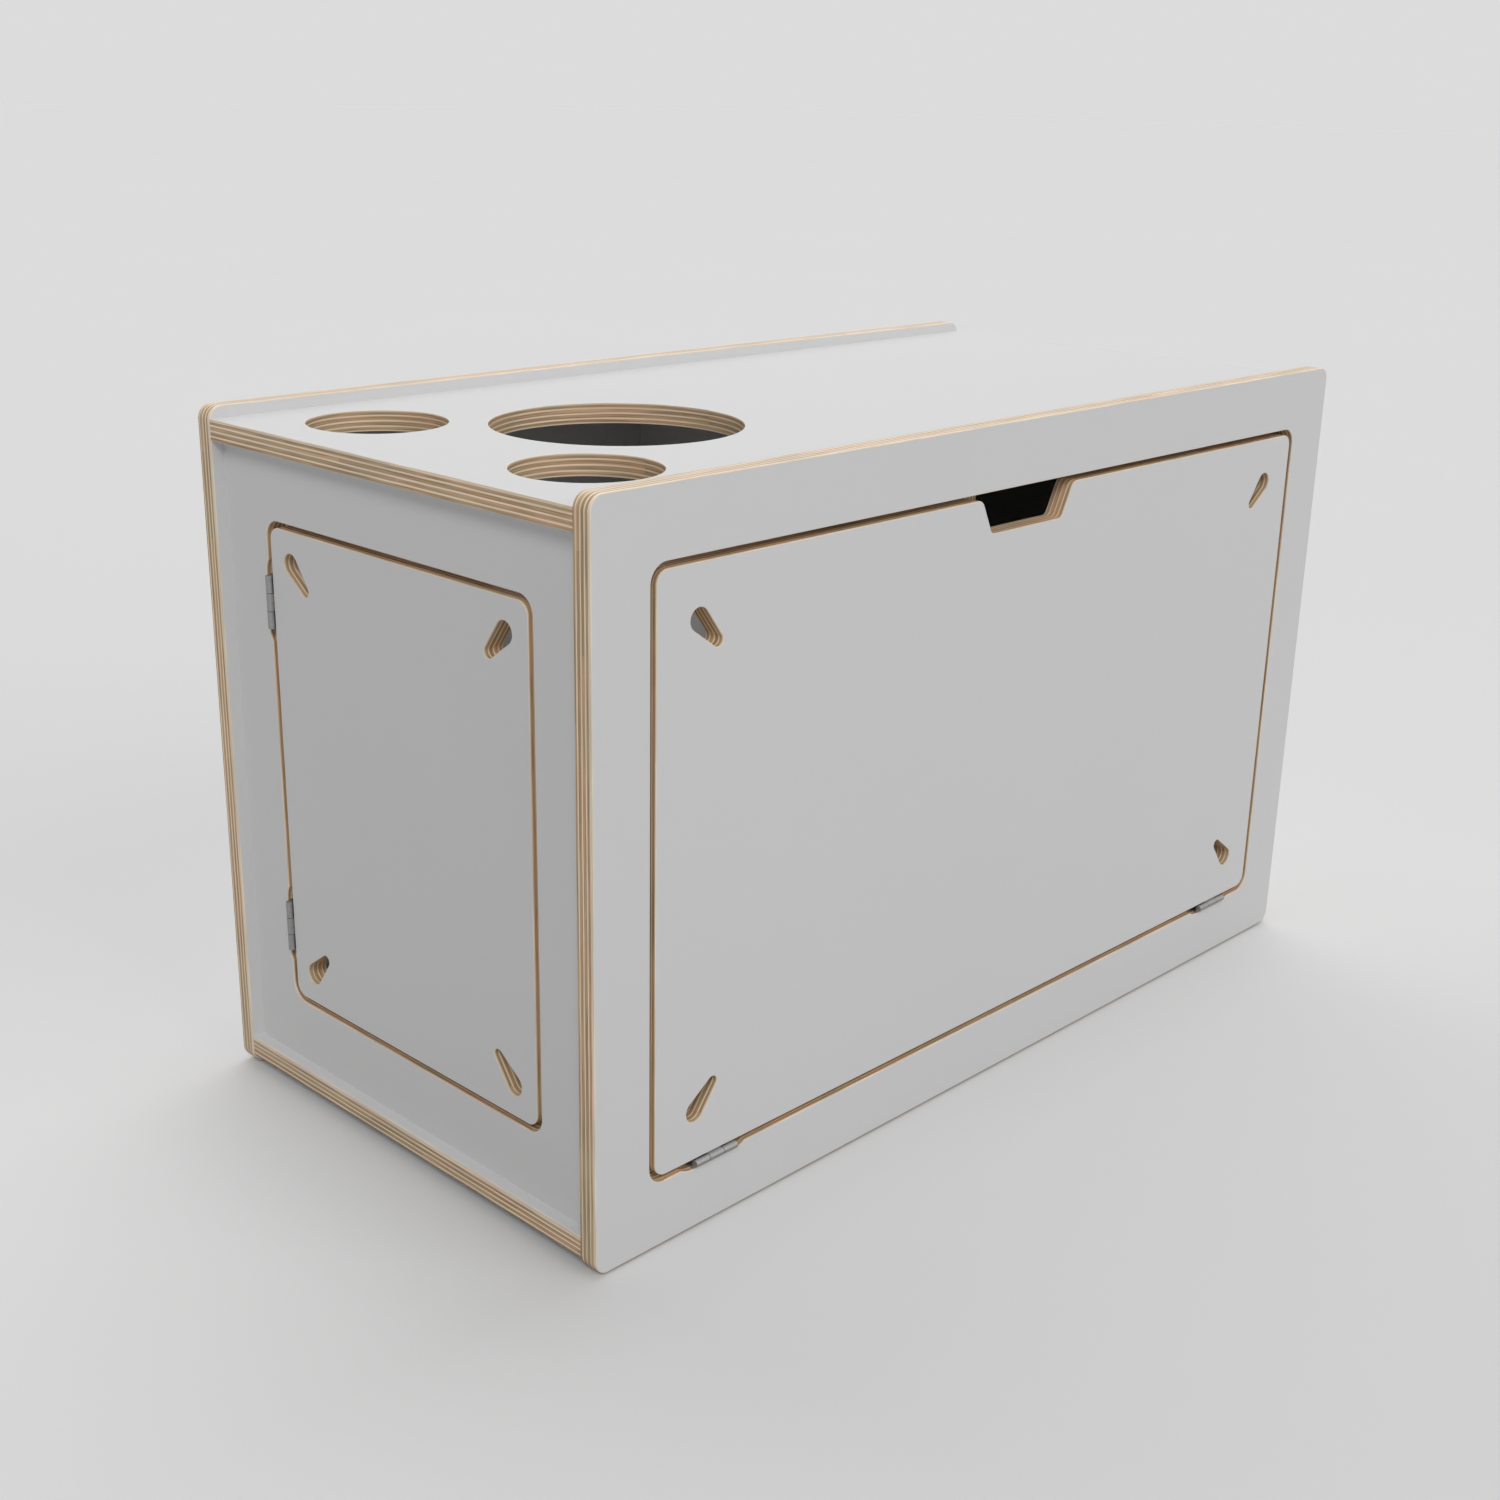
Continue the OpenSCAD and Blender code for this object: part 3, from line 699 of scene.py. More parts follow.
class Effects:
    """Node groups that several materials share."""

    def __init__(self) -> None:
        """Builds each group once."""
        self.mottle = self.make_mottle()
        self.streaks = self.make_streaks()

    @staticmethod
    def make_mottle() -> bpy.types.NodeTree:
        """Soft clouds and fine grain, as of handling and of a pressed face.

        Clouds is near 1 and follows broad noise. Grain is fine noise from 0
        to 1, for roughness and height.

        Returns:
            The group's tree.
        """
        numbers = ("Cloud Scale", "Cloud Amount", "Grain Scale")
        tree, graph, source, sink = group("surface_mottle", ("Vector",), numbers, ("Clouds", "Grain"))
        broad = graph.noise(source["Vector"], source["Cloud Scale"], detail=3.0)
        swing = graph.math("MULTIPLY", graph.math("SUBTRACT", broad, 0.5), source["Cloud Amount"])
        graph.feed(sink["Clouds"], graph.math("ADD", swing, 1.0))
        graph.feed(sink["Grain"], graph.noise(source["Vector"], source["Grain Scale"]))
        return tree

    @staticmethod
    def make_streaks() -> bpy.types.NodeTree:
        """Long fine streaks, as of wood fibre or brushing.

        Two noises share one stretched vector, a fine one and one twice as
        broad, and their mean is the streak.

        Returns:
            The group's tree.
        """
        tree, graph, source, sink = group("fine_streaks", ("Vector", "Stretch"), (), ("Streak",))
        vector = graph.stretched(source["Vector"], source["Stretch"])
        fine = graph.noise(vector, 1.0, detail=3.0)
        broad = graph.noise(vector, 0.5, detail=1.0)
        graph.feed(sink["Streak"], graph.math("MULTIPLY", graph.math("ADD", fine, broad), 0.5))
        return tree

    def use_mottle(self, graph: Graph, vector: Any, cloud: float, amount: float, grain: float) -> Any:
        """Places the mottle group in a material and returns its outputs."""
        inputs = {"Vector": vector, "Cloud Scale": cloud, "Cloud Amount": amount, "Grain Scale": grain}
        return graph.node("Group", inputs, node_tree=self.mottle).outputs

    def use_streaks(self, graph: Graph, vector: Any, stretch: Triple) -> Socket:
        """Places the streak group in a material and returns its value."""
        inputs = {"Vector": vector, "Stretch": stretch}
        return graph.node("Group", inputs, node_tree=self.streaks).outputs["Streak"]


def shader(name: str, **constants: float) -> Tuple[bpy.types.Material, Graph, bpy.types.Node]:
    """Starts a material with one Principled BSDF.

    Args:
        name: The material's name.
        **constants: Constant inputs, with underscores for spaces.

    Returns:
        The material, its graph and its shader node.
    """
    material = bpy.data.materials.new(name)
    material.use_nodes = True
    nodes = material.node_tree.nodes
    bsdf = next(node for node in nodes if node.type == "BSDF_PRINCIPLED")
    for key, value in constants.items():
        bsdf.inputs[key.replace("_", " ")].default_value = value
    return material, Graph(material.node_tree), bsdf


@dataclass(frozen=True)
class GrainedFinish:
    """A dull surface with a fine grain, such as laminate, plastic or ferrite.

    Attributes:
        name: The material's name.
        colour: Its colour.
        roughness: Its roughness, from the bottom of the grain to the top.
        grain_scale: How many grains there are in a metre.
        bump_strength: How strongly the grain turns the surface.
        grain_height: Height of the grain, in metres.
        cloud_scale: How many broad clouds there are in a metre.
        cloud_amount: How much the clouds shade the colour.
        sheen: Strength of the shine, where 0.5 is usual.
    """

    name: str
    colour: Colour
    roughness: Range
    grain_scale: float
    bump_strength: float
    grain_height: float = 0.0002
    cloud_scale: float = 60.0
    cloud_amount: float = 0.12
    sheen: float = 0.5

    def material(self, effects: Effects) -> bpy.types.Material:
        """Broad clouds shade the colour, and fine grain gives the texture.

        Args:
            effects: The shared node groups.

        Returns:
            The material.
        """
        made, graph, bsdf = shader(self.name, Specular_IOR_Level=self.sheen)
        place = graph.node("TexCoord").outputs["Object"]
        mottle = effects.use_mottle(graph, place, self.cloud_scale, self.cloud_amount, self.grain_scale)
        grain = mottle["Grain"]
        graph.feed(bsdf.inputs["Base Color"], graph.scaled(self.colour, mottle["Clouds"]))
        graph.feed(bsdf.inputs["Roughness"], graph.span(grain, MOST_NOISE, self.roughness))
        graph.feed(bsdf.inputs["Normal"], graph.bump(grain, self.bump_strength, self.grain_height))
        return made


@dataclass(frozen=True)
class PlyEdgeFinish:
    """The bare, sealed edge of nine-ply birch.

    Attributes:
        light: Colour of plies whose fibres run along the edge.
        dark: Colour of plies cut across their fibres.
        outer: Colour of the two plies under the laminate.
        yellower: Tint of the yellowest wood.
        redder: Tint of the reddest wood.
        pitch: From one light ply to the next, in millimetres.
        light_width: Width of a light ply.
        ply_blur: Share of the pitch, either way, in which light turns dark.
        veneer: Thickness of the outer plies.
        veneer_blur: How far, either way, an outer ply's border is soft.
        thickness: Thickness of the board.
        length: Usual length between joints in a ply.
        stagger: Share of that length from one ply's joints to the next's.
        light_index: Number that keeps a light ply's index off a dark one's.
        tones: Darkest and lightest tone of a piece of veneer.
        light_lift: How much paler a light ply's darkest tone is.
        fibre: Shade of a light ply, from the darkest streak to the palest.
        fibre_stretch: Streaks in a metre, along and across a light ply.
        pores: Shade of a dark ply, from the darkest streak to the palest.
        pore_stretch: Streaks in a metre, along and across a dark ply.
        streak_range: Values between which most streaks and patches lie.
        patch_stretch: Warm and cool patches in a metre, along and across.
        shades: Darkest and palest shade, for the roughness.
        roughness: Roughness at those two shades.
        bump_strength: How strongly the shade turns the surface.
        grain_height: Height of the grain, in metres.
        seal: How much of a clear sealer lies on the edge.
        seal_roughness: Roughness of the sealer.
    """

    light: Colour = (0.92, 0.765, 0.57)
    dark: Colour = (0.54, 0.37, 0.22)
    outer: Colour = (0.84, 0.72, 0.575)
    yellower: Colour = (0.98, 1.0, 0.98)
    redder: Colour = (1.05, 0.98, 0.95)
    pitch: float = 3.0
    light_width: float = 0.95
    ply_blur: float = 0.035
    veneer: float = 0.9
    veneer_blur: float = 0.1
    thickness: float = BOARD_THICKNESS
    length: float = 130.0
    stagger: float = 0.37
    light_index: float = 17.0
    tones: Range = (0.86, 1.07)
    light_lift: float = 0.09
    fibre: Range = (0.88, 1.09)
    fibre_stretch: Triple = (34.0, 1500.0, 1.0)
    pores: Range = (0.76, 1.2)
    pore_stretch: Triple = (40.0, 1700.0, 1.0)
    streak_range: Range = (0.38, 0.62)
    patch_stretch: Triple = (14.0, 90.0, 0.0)
    shades: Range = (0.8, 1.15)
    roughness: Range = (0.66, 0.5)
    bump_strength: float = 0.25
    grain_height: float = 0.0001
    seal: float = 0.25
    seal_roughness: float = 0.3

    def material(self, effects: Effects) -> bpy.types.Material:
        """Light and dark plies by depth, toned by length and streaked.

        Args:
            effects: The shared node groups.

        Returns:
            The material.
        """
        made, graph, bsdf = shader("ply_edge", Coat_Weight=self.seal, Coat_Roughness=self.seal_roughness)
        edge = graph.node("UVMap", uv_map=EDGE_UV).outputs[0]
        along, depth, _ = graph.node("SeparateXYZ", {0: edge}).outputs
        shift = graph.node("Attribute", attribute_name=PLY_SHIFT).outputs["Fac"]
        depth = graph.math("SUBTRACT", depth, shift)
        plies = graph.math("DIVIDE", depth, self.pitch * MM)
        outermost = self.outer_plies(graph, depth)
        bright = graph.math("MAXIMUM", self.light_plies(graph, plies), outermost)
        streaks = self.streaks(graph, effects, edge, bright)
        level = graph.math("MULTIPLY", streaks, self.veneer_tone(graph, along, plies, bright))
        patches = graph.noise(graph.stretched(edge, self.patch_stretch), 1.0, detail=1.0)
        tint = graph.mix(graph.span(patches, self.streak_range), self.yellower, self.redder)
        pale = graph.mix(outermost, self.light, self.outer)
        colour = graph.mix(1.0, graph.mix(bright, self.dark, pale), tint, "MULTIPLY")
        graph.feed(bsdf.inputs["Base Color"], graph.scaled(colour, level))
        graph.feed(bsdf.inputs["Roughness"], graph.span(level, self.shades, self.roughness))
        graph.feed(bsdf.inputs["Normal"], graph.bump(level, self.bump_strength, self.grain_height))
        return made

    def light_plies(self, graph: Graph, plies: Socket) -> Socket:
        """Marks the light plies, whose middles lie at whole numbers of pitches.

        Args:
            graph: The material's graph.
            plies: Depth in the board, counted in pitches.

        Returns:
            1 on a light ply and 0 on a dark one.
        """
        away = graph.math("ABSOLUTE", graph.math("SUBTRACT", plies, graph.math("ROUND", plies)))
        half = self.light_width / self.pitch / 2
        return graph.span(away, (half - self.ply_blur, half + self.ply_blur), (1.0, 0.0))

    def outer_plies(self, graph: Graph, depth: Socket) -> Socket:
        """Marks the two plies under the laminate.

        Args:
            graph: The material's graph.
            depth: Depth in the board, in metres.

        Returns:
            1 on the two plies and 0 between them.
        """
        nearest = graph.math("MINIMUM", depth, graph.math("SUBTRACT", self.thickness * MM, depth))
        border = ((self.veneer - self.veneer_blur) * MM, (self.veneer + self.veneer_blur) * MM)
        return graph.span(nearest, border, (1.0, 0.0))

    def veneer_tone(self, graph: Graph, along: Socket, plies: Socket, bright: Socket) -> Socket:
        """A random tone for each piece of veneer.

        Each ply has an index, and each stretch of it a number, and the two
        together pick the tone.

        Args:
            graph: The material's graph.
            along: Length along the edge, in metres.
            plies: Depth in the board, counted in pitches.
            bright: 1 on a light ply and 0 on a dark one.

        Returns:
            The tone, a factor near 1.
        """
        lifted = graph.math("MULTIPLY", bright, self.light_index)
        index = graph.math("ADD", lifted, graph.math("FLOOR", plies))
        lengths = graph.math("DIVIDE", along, self.length * MM)
        staggered = graph.math("ADD", lengths, graph.math("MULTIPLY", index, self.stagger))
        cell = graph.node("CombineXYZ", {0: graph.math("FLOOR", staggered), 1: index}).outputs[0]
        chance = graph.node("TexWhiteNoise", {"Vector": cell}, noise_dimensions="2D").outputs["Value"]
        darkest, lightest = self.tones
        lowest = graph.math("MULTIPLY_ADD", bright, self.light_lift, darkest)
        return graph.span(chance, (0.0, 1.0), (lowest, lightest))

    def streaks(self, graph: Graph, effects: Effects, edge: Socket, bright: Socket) -> Socket:
        """Fine streaks: fibre on the light plies, and pores on the dark ones.

        Args:
            graph: The material's graph.
            effects: The shared node groups.
            edge: Length along the edge and depth in the board, in metres.
            bright: 1 on a light ply and 0 on a dark one.

        Returns:
            The shade, a factor near 1.
        """
        fibre = effects.use_streaks(graph, edge, self.fibre_stretch)
        pores = effects.use_streaks(graph, edge, self.pore_stretch)
        shades = {
            2: graph.span(pores, self.streak_range, self.pores),
            3: graph.span(fibre, self.streak_range, self.fibre),
        }
        return graph.node("Mix", {0: bright, **shades}).outputs[0]


@dataclass(frozen=True)
class MetalFinish:
    """A plain metal with fine streaks, as of brushing or plating.

    Attributes:
        name: The material's name.
        colour: Its colour.
        roughness: Its roughness, from the lowest streak to the highest.
        stretch: Streaks in a metre, in each direction.
        tint: How much the streaks shade the colour.
        streak_range: Values between which the streaks shade it.
        bump_strength: How strongly the streaks turn the surface.
        streak_height: Height of the streaks, in metres.
    """

    name: str
    colour: Colour
    roughness: Range = (0.32, 0.46)
    stretch: Triple = (60.0, 3000.0, 3000.0)
    tint: float = 0.10
    streak_range: Range = (0.25, 0.75)
    bump_strength: float = 0.08
    streak_height: float = 0.00005

    def material(self, effects: Effects) -> bpy.types.Material:
        """Streaks shade the colour and the roughness, and lift the surface.

        Args:
            effects: The shared node groups.

        Returns:
            The material.
        """
        made, graph, bsdf = shader(self.name, Metallic=1.0)
        place = graph.node("TexCoord").outputs["Object"]
        streak = effects.use_streaks(graph, place, self.stretch)
        level = graph.span(streak, self.streak_range, (1 - self.tint, 1 + self.tint))
        graph.feed(bsdf.inputs["Base Color"], graph.scaled(self.colour, level))
        graph.feed(bsdf.inputs["Roughness"], graph.span(streak, MOST_NOISE, self.roughness))
        graph.feed(bsdf.inputs["Normal"], graph.bump(streak, self.bump_strength, self.streak_height))
        return made


@dataclass(frozen=True)
class BeechFinish:
    """Bare beech, with short dark flecks.

    Attributes:
        colour: Its colour.
        stretch: Flecks in a metre, in each direction.
        shades: Factors of the colour, from the darkest fleck to the palest.
        roughness: Its roughness.
        bump_strength: How strongly the flecks turn the surface.
        fleck_height: Height of the flecks, in metres.
    """

    colour: Colour = (0.60, 0.42, 0.27)
    stretch: Triple = (800.0, 800.0, 800.0)
    shades: Range = (0.8, 1.1)
    roughness: float = 0.7
    bump_strength: float = 0.2
    fleck_height: float = 0.0001

    def material(self, effects: Effects) -> bpy.types.Material:
        """Fine flecks shade the colour and lift the surface.

        Args:
            effects: The shared node groups.

        Returns:
            The material.
        """
        made, graph, bsdf = shader("bare_beech", Roughness=self.roughness)
        place = graph.node("TexCoord").outputs["Object"]
        fleck = effects.use_streaks(graph, place, self.stretch)
        level = graph.span(fleck, MOST_NOISE, self.shades)
        graph.feed(bsdf.inputs["Base Color"], graph.scaled(self.colour, level))
        graph.feed(bsdf.inputs["Normal"], graph.bump(fleck, self.bump_strength, self.fleck_height))
        return made


class Finishes:
    """Every material of the chest, built once."""

    def __init__(self) -> None:
        """Builds the shared effects, then each finish."""
        effects = Effects()
        self.laminate = GrainedFinish(
            "pale_laminate", (0.715, 0.715, 0.715), (0.50, 0.60), 2600.0, 0.06,
            grain_height=0.0001, cloud_scale=9.0, cloud_amount=0.02, sheen=0.2,
        ).material(effects)
        self.ply_edge = PlyEdgeFinish().material(effects)
        self.hinge_steel = MetalFinish("hinge_steel", (0.40, 0.40, 0.40), (0.5, 0.62)).material(effects)
        self.zinc = MetalFinish(
            "zinc_plating", (0.62, 0.64, 0.66), (0.25, 0.4), (900.0, 900.0, 900.0)
        ).material(effects)
        self.nickel = MetalFinish("nickel_plating", (0.58, 0.57, 0.54), (0.22, 0.34)).material(effects)
        self.plastic = GrainedFinish(
            "catch_plastic", (0.09, 0.09, 0.10), (0.42, 0.58), 2200.0, 0.25
        ).material(effects)
        self.ferrite = GrainedFinish(
            "magnet_ferrite", (0.03, 0.03, 0.032), (0.6, 0.8), 1500.0, 0.4
        ).material(effects)
        self.beech = BeechFinish().material(effects)

    def of_node(self, node: str) -> bpy.types.Material:
        """The finish of one of the frame's parts, by the words in its name.

        Args:
            node: The part's name.

        Returns:
            The first finish whose word is in the name, or else the ply edge.
        """
        choices = (
            ("_screws", self.zinc),
            ("_dowels", self.beech),
            ("_magnet", self.ferrite),
            ("_housing", self.plastic),
            ("_poles", self.nickel),
            ("strike", self.nickel),
            ("hinge", self.hinge_steel),
        )
        return next((made for word, made in choices if word in node), self.ply_edge)


# ---- sub-assemblies ----


def finish_board(board: Board, finishes: Finishes) -> str:
    """Builds a board, dresses it and sets it on its body.

    Args:
        board: The board.
        finishes: The chest's materials.

    Returns:
        The name of the frame's part that it stands for.
    """
    item = board.build()
    skins = {Skin.FACE: finishes.laminate, Skin.EDGE: finishes.ply_edge}
    for skin in Skin:
        item.data.materials.append(skins[skin])
    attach(item, board.body)
    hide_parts(board.node)
    log.info("piece %s: %d faces, on %s", item.name, len(item.data.polygons), board.body)
    return board.node


class Joinery(ABC):
    """A sub-assembly made of boards."""

    @abstractmethod
    def boards(self) -> List[Board]:
        """The boards, in the order in which they are built."""

    def build(self, finishes: Finishes) -> List[str]:
        """Builds and dresses each board, and lists the frame's parts that they stand for."""
        return [finish_board(board, finishes) for board in self.boards()]


@dataclass
class Carcass(Joinery):
    """The fixed boards: two long panels, two decks, two ends and a divider.

    Attributes:
        length: The chest's size along X.
        depth: Its size along Y.
        height: Its size along Z.
        board: Thickness of every board.
        lip: How far the decks lie inside the long panels' edges.
        end_recess: How far the ends lie inside the long panels' ends.
        corner_radius: Radius of the long panels' corners.
        divider_setback: Gap between the front panel and the divider.
        front_frame: Width of the front panel round its opening.
        end_frame: Width of the left end round its opening.
        opening_radius: Radius of both openings' corners.
        large_hole: Diameter of the large hole.
        small_hole: Diameter of the two small holes.
        large_hole_inset: The large hole's middle from the long panels' left.
        small_hole_inset: The small holes' middles from the same place.
        small_hole_edge: Their middles from the chest's front and back.
        large_hole_steps: Chords round the large hole.
        small_hole_steps: Chords round a small hole.
        front_hinge_x: The flap's hinges, either way from the middle.
        end_hinge_z: The side door's hinges, up and down from the middle.
        front_shift: How far the front panel's outer plies are off centre.
        back_shift: The same for the back panel.
        top_shift: The same for the top.
        bottom_shift: The same for the bottom.
        pocket: Shape of a hinge pocket.
    """

    length: float = 650.0
    depth: float = 326.0
    height: float = 400.0
    board: float = BOARD_THICKNESS
    lip: float = 6.5
    end_recess: float = 7.5
    corner_radius: float = 8.0
    divider_setback: float = 30.0
    front_frame: float = 36.6
    end_frame: float = 38.0
    opening_radius: float = 10.5
    large_hole: float = 141.0
    small_hole: float = 77.2
    large_hole_inset: float = 162.5
    small_hole_inset: float = 64.8
    small_hole_edge: float = 76.4
    large_hole_steps: int = 144
    small_hole_steps: int = 96
    front_hinge_x: float = 242.0
    end_hinge_z: float = 97.1
    front_shift: float = 1.0
    back_shift: float = 1.5
    top_shift: float = -0.6
    bottom_shift: float = -1.5
    pocket: HingePocket = HingePocket()

    @property
    def inner_depth(self) -> float:
        """Between the front and the back panel."""
        return self.depth - 2 * self.board

    @property
    def inner_height(self) -> float:
        """Between the top and the bottom panel."""
        return self.height - 2 * (self.lip + self.board)

    @property
    def middle_z(self) -> float:
        """Half of the chest's height."""
        return self.height / 2

    def front_opening(self) -> Tuple[float, float]:
        """Width and height of the front opening."""
        return self.length - 2 * self.front_frame, self.height - 2 * self.front_frame

    def end_opening(self) -> Tuple[float, float]:
        """Width and height of the end opening."""
        return self.inner_depth - 2 * self.end_frame, self.inner_height - 2 * self.end_frame

    def boards(self) -> List[Board]:
        """All seven boards."""
        return self.long_panels() + self.decks() + self.uprights()

    def long_panels(self) -> List[Board]:
        """The front panel, with its opening and two hinge pockets, and the back.

        Returns:
            The two panels.
        """
        width, height = self.front_opening()
        pockets = [self.pocket.path(sign * self.front_hinge_x, height / 2) for sign in (-1, 1)]
        opening = rounded_rectangle(
            width, height, self.opening_radius, features={Side.BOTTOM: np.concatenate(pockets)}
        )
        outline = rounded_rectangle(self.length, self.height, self.corner_radius)
        middle = (0.0, self.middle_z)
        return [
            Board("front_board", "front_panel", "carcass", Facing.FRONT, middle, -self.depth / 2,
                  outline, [opening], outline_shift=self.front_shift),
            Board("back_board", "back_panel", "carcass", Facing.FRONT, middle,
                  self.depth / 2 - self.board, outline, outline_shift=self.back_shift),
        ]

    def decks(self) -> List[Board]:
        """The top, with its three round holes, and the bottom.

        Returns:
            The two decks.
        """
        outline = rounded_rectangle(self.length, self.inner_depth)
        large_x = self.large_hole_inset - self.length / 2
        small_x = self.small_hole_inset - self.length / 2
        small_y = self.depth / 2 - self.small_hole_edge
        holes = [circle((large_x, 0.0), self.large_hole, self.large_hole_steps)]
        for sign in (-1, 1):
            holes.append(circle((small_x, sign * small_y), self.small_hole, self.small_hole_steps))
        joints = (Side.BOTTOM, Side.TOP)
        top_z = self.height - self.lip - self.board
        return [
            Board("top_board", "top_panel", "carcass", Facing.DECK, (0.0, 0.0), top_z, outline,
                  holes, butted=joints, outline_shift=self.top_shift),
            Board("bottom_board", "bottom_panel", "carcass", Facing.DECK, (0.0, 0.0), self.lip,
                  outline, butted=joints, outline_shift=self.bottom_shift),
        ]

    def uprights(self) -> List[Board]:
        """The left end, with its opening and hinge pockets, the right end and the divider.

        Returns:
            The three boards.
        """
        width, height = self.end_opening()
        pockets = [self.pocket.path(sign * self.end_hinge_z, width / 2) for sign in (-1, 1)]
        opening = rounded_rectangle(
            width, height, self.opening_radius,
            features={Side.RIGHT: turned(np.concatenate(pockets), 1)},
        )
        outline = rounded_rectangle(self.inner_depth, self.inner_height)
        end_x = self.length / 2 - self.end_recess
        every = tuple(Side)
        divider_depth = self.inner_depth - self.divider_setback
        return [
            Board("left_end_board", "left_end_panel", "carcass", Facing.END, (0.0, self.middle_z),
                  -end_x, outline, [opening], butted=every),
            Board("right_end_board", "right_end_panel", "carcass", Facing.END, (0.0, self.middle_z),
                  end_x - self.board, outline, butted=every),
            Board("divider_board", "divider", "carcass", Facing.END,
                  (self.divider_setback / 2, self.middle_z), -self.board / 2,
                  rounded_rectangle(divider_depth, self.inner_height),
                  butted=(Side.RIGHT, Side.TOP, Side.BOTTOM)),
        ]


@dataclass(frozen=True)
class Strike:
    """The recess that a strike plate fills, as seen on a door's inner face.

    Attributes:
        length: Its size along the opening's edge.
        width: Its size across that edge.
        depth: How deep it is cut.
        from_edge: Its middle from the opening's edge.
    """

    length: float = 32.1
    width: float = 10.1
    depth: float = 1.2
    from_edge: float = 10.0


@dataclass
class Doors(Joinery):
    """The front flap and the side door, each with four cord slots.

    Attributes:
        carcass: The boards that the doors close.
        gap: Between a door and its opening, all round.
        corner_radius: Radius of both doors' corners.
        flap_slot_inset: Middle of a slot's wide end to the flap's edges.
        door_slot_inset: The same for the side door.
        flap_catch_x: The flap's strikes, either way from the middle.
        slot: Shape of a cord slot.
        notch: Shape of the flap's finger notch.
        strike: Shape of a strike's recess.
    """

    carcass: Carcass
    gap: float = 3.6
    corner_radius: float = 7.5
    flap_slot_inset: float = 28.3
    door_slot_inset: float = 18.4
    flap_catch_x: float = 150.0
    slot: CordSlot = CordSlot()
    notch: FingerNotch = FingerNotch()
    strike: Strike = Strike()

    def boards(self) -> List[Board]:
        """Both doors."""
        return [self.flap(), self.side_door()]

    def slots(self, width: float, height: float, inset: float) -> List[Points]:
        """The four slots of a door."""
        corners = ((-1, -1), (1, -1), (1, 1), (-1, 1))
        return [self.slot.outline(corner, width, height, inset) for corner in corners]

    def flap(self) -> Board:
        """The flap, with its finger notch.

        Returns:
            The board.
        """
        opening_w, opening_h = self.carcass.front_opening()
        width, height = opening_w - 2 * self.gap, opening_h - 2 * self.gap
        outline = rounded_rectangle(
            width, height, self.corner_radius, features={Side.TOP: self.notch.path(height / 2)}
        )
        plate = (self.strike.length, self.strike.width)
        plate_z = opening_h / 2 - self.strike.from_edge
        recesses = [
            Recess((sign * self.flap_catch_x, plate_z), plate, self.strike.depth) for sign in (-1, 1)
        ]
        return Board("flap_board", "front_flap", "flap", Facing.FRONT, (0.0, self.carcass.middle_z),
                     -self.carcass.depth / 2, outline,
                     self.slots(width, height, self.flap_slot_inset), recesses=recesses)

    def side_door(self) -> Board:
        """The side door.

        Returns:
            The board.
        """
        opening_w, opening_h = self.carcass.end_opening()
        width, height = opening_w - 2 * self.gap, opening_h - 2 * self.gap
        plate_y = self.strike.from_edge - opening_w / 2
        recess = Recess((plate_y, 0.0), (self.strike.width, self.strike.length), self.strike.depth)
        return Board("side_door_board", "side_door", "side_door", Facing.END,
                     (0.0, self.carcass.middle_z), self.carcass.end_recess - self.carcass.length / 2,
                     rounded_rectangle(width, height, self.corner_radius),
                     self.slots(width, height, self.door_slot_inset), recesses=[recess])


@dataclass
class Hardware:
    """The frame's own metal, plastic and dowels, which keep their shapes.

    Attributes:
        finishes: The chest's materials.
    """

    finishes: Finishes

    def dress(self, shown: Sequence[str]) -> None:
        """Gives each of the frame's parts its finish.

        Args:
            shown: Names of the parts that no board stands for.
        """
        for name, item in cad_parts.items():
            item.data.materials.clear()
            item.data.materials.append(self.finishes.of_node(name))
            if name in shown:
                log.info("part %s: %s", name, item.data.materials[0].name)


# ---- studio ----


@dataclass
class Camera:
    """The camera, placed by where it stands and how it is turned.

    Attributes:
        position: Where it stands, in metres.
        heading: Its turn from +Y towards +X, in degrees.
        down: How far it is tipped down, in degrees.
        roll: How far its right side is then lifted, in degrees.
        lens: Focal length, in millimetres.
        sensor: Width of its sensor, in millimetres.
        nearest: Distance from which it sees, in metres.
        farthest: Distance to which it sees, in metres.
    """

    position: Triple = (-0.88319, -0.80293, 0.57430)
    heading: float = 45.99
    down: float = 18.96
    roll: float = 1.12
    lens: float = 46.887
    sensor: float = 36.0
    nearest: float = 0.02
    farthest: float = 200.0

    def axes(self) -> Tuple[Vector, Vector, Vector]:
        """Heads the camera, tips it down and rolls it.

        Returns:
            Its right, up and backward directions.
        """
        turn, tip, roll = (math.radians(angle) for angle in (self.heading, self.down, self.roll))
        ahead = Vector((math.sin(turn) * math.cos(tip), math.cos(turn) * math.cos(tip), -math.sin(tip)))
        level = ahead.cross(Vector((0, 0, 1))).normalized()
        upright = level.cross(ahead)
        right = math.cos(roll) * level + math.sin(roll) * upright
        up = math.cos(roll) * upright - math.sin(roll) * level
        return right, up, -ahead

    def place(self) -> None:
        """Adds the camera and makes it the scene's own."""
        data = bpy.data.cameras.new("camera")
        data.sensor_width = self.sensor
        data.lens = self.lens
        data.clip_start = self.nearest
        data.clip_end = self.farthest
        item = bpy.data.objects.new("camera", data)
        rotation = Matrix(self.axes()).transposed().to_4x4()
        item.matrix_world = Matrix.Translation(self.position) @ rotation
        bpy.context.scene.collection.objects.link(item)
        bpy.context.scene.camera = item


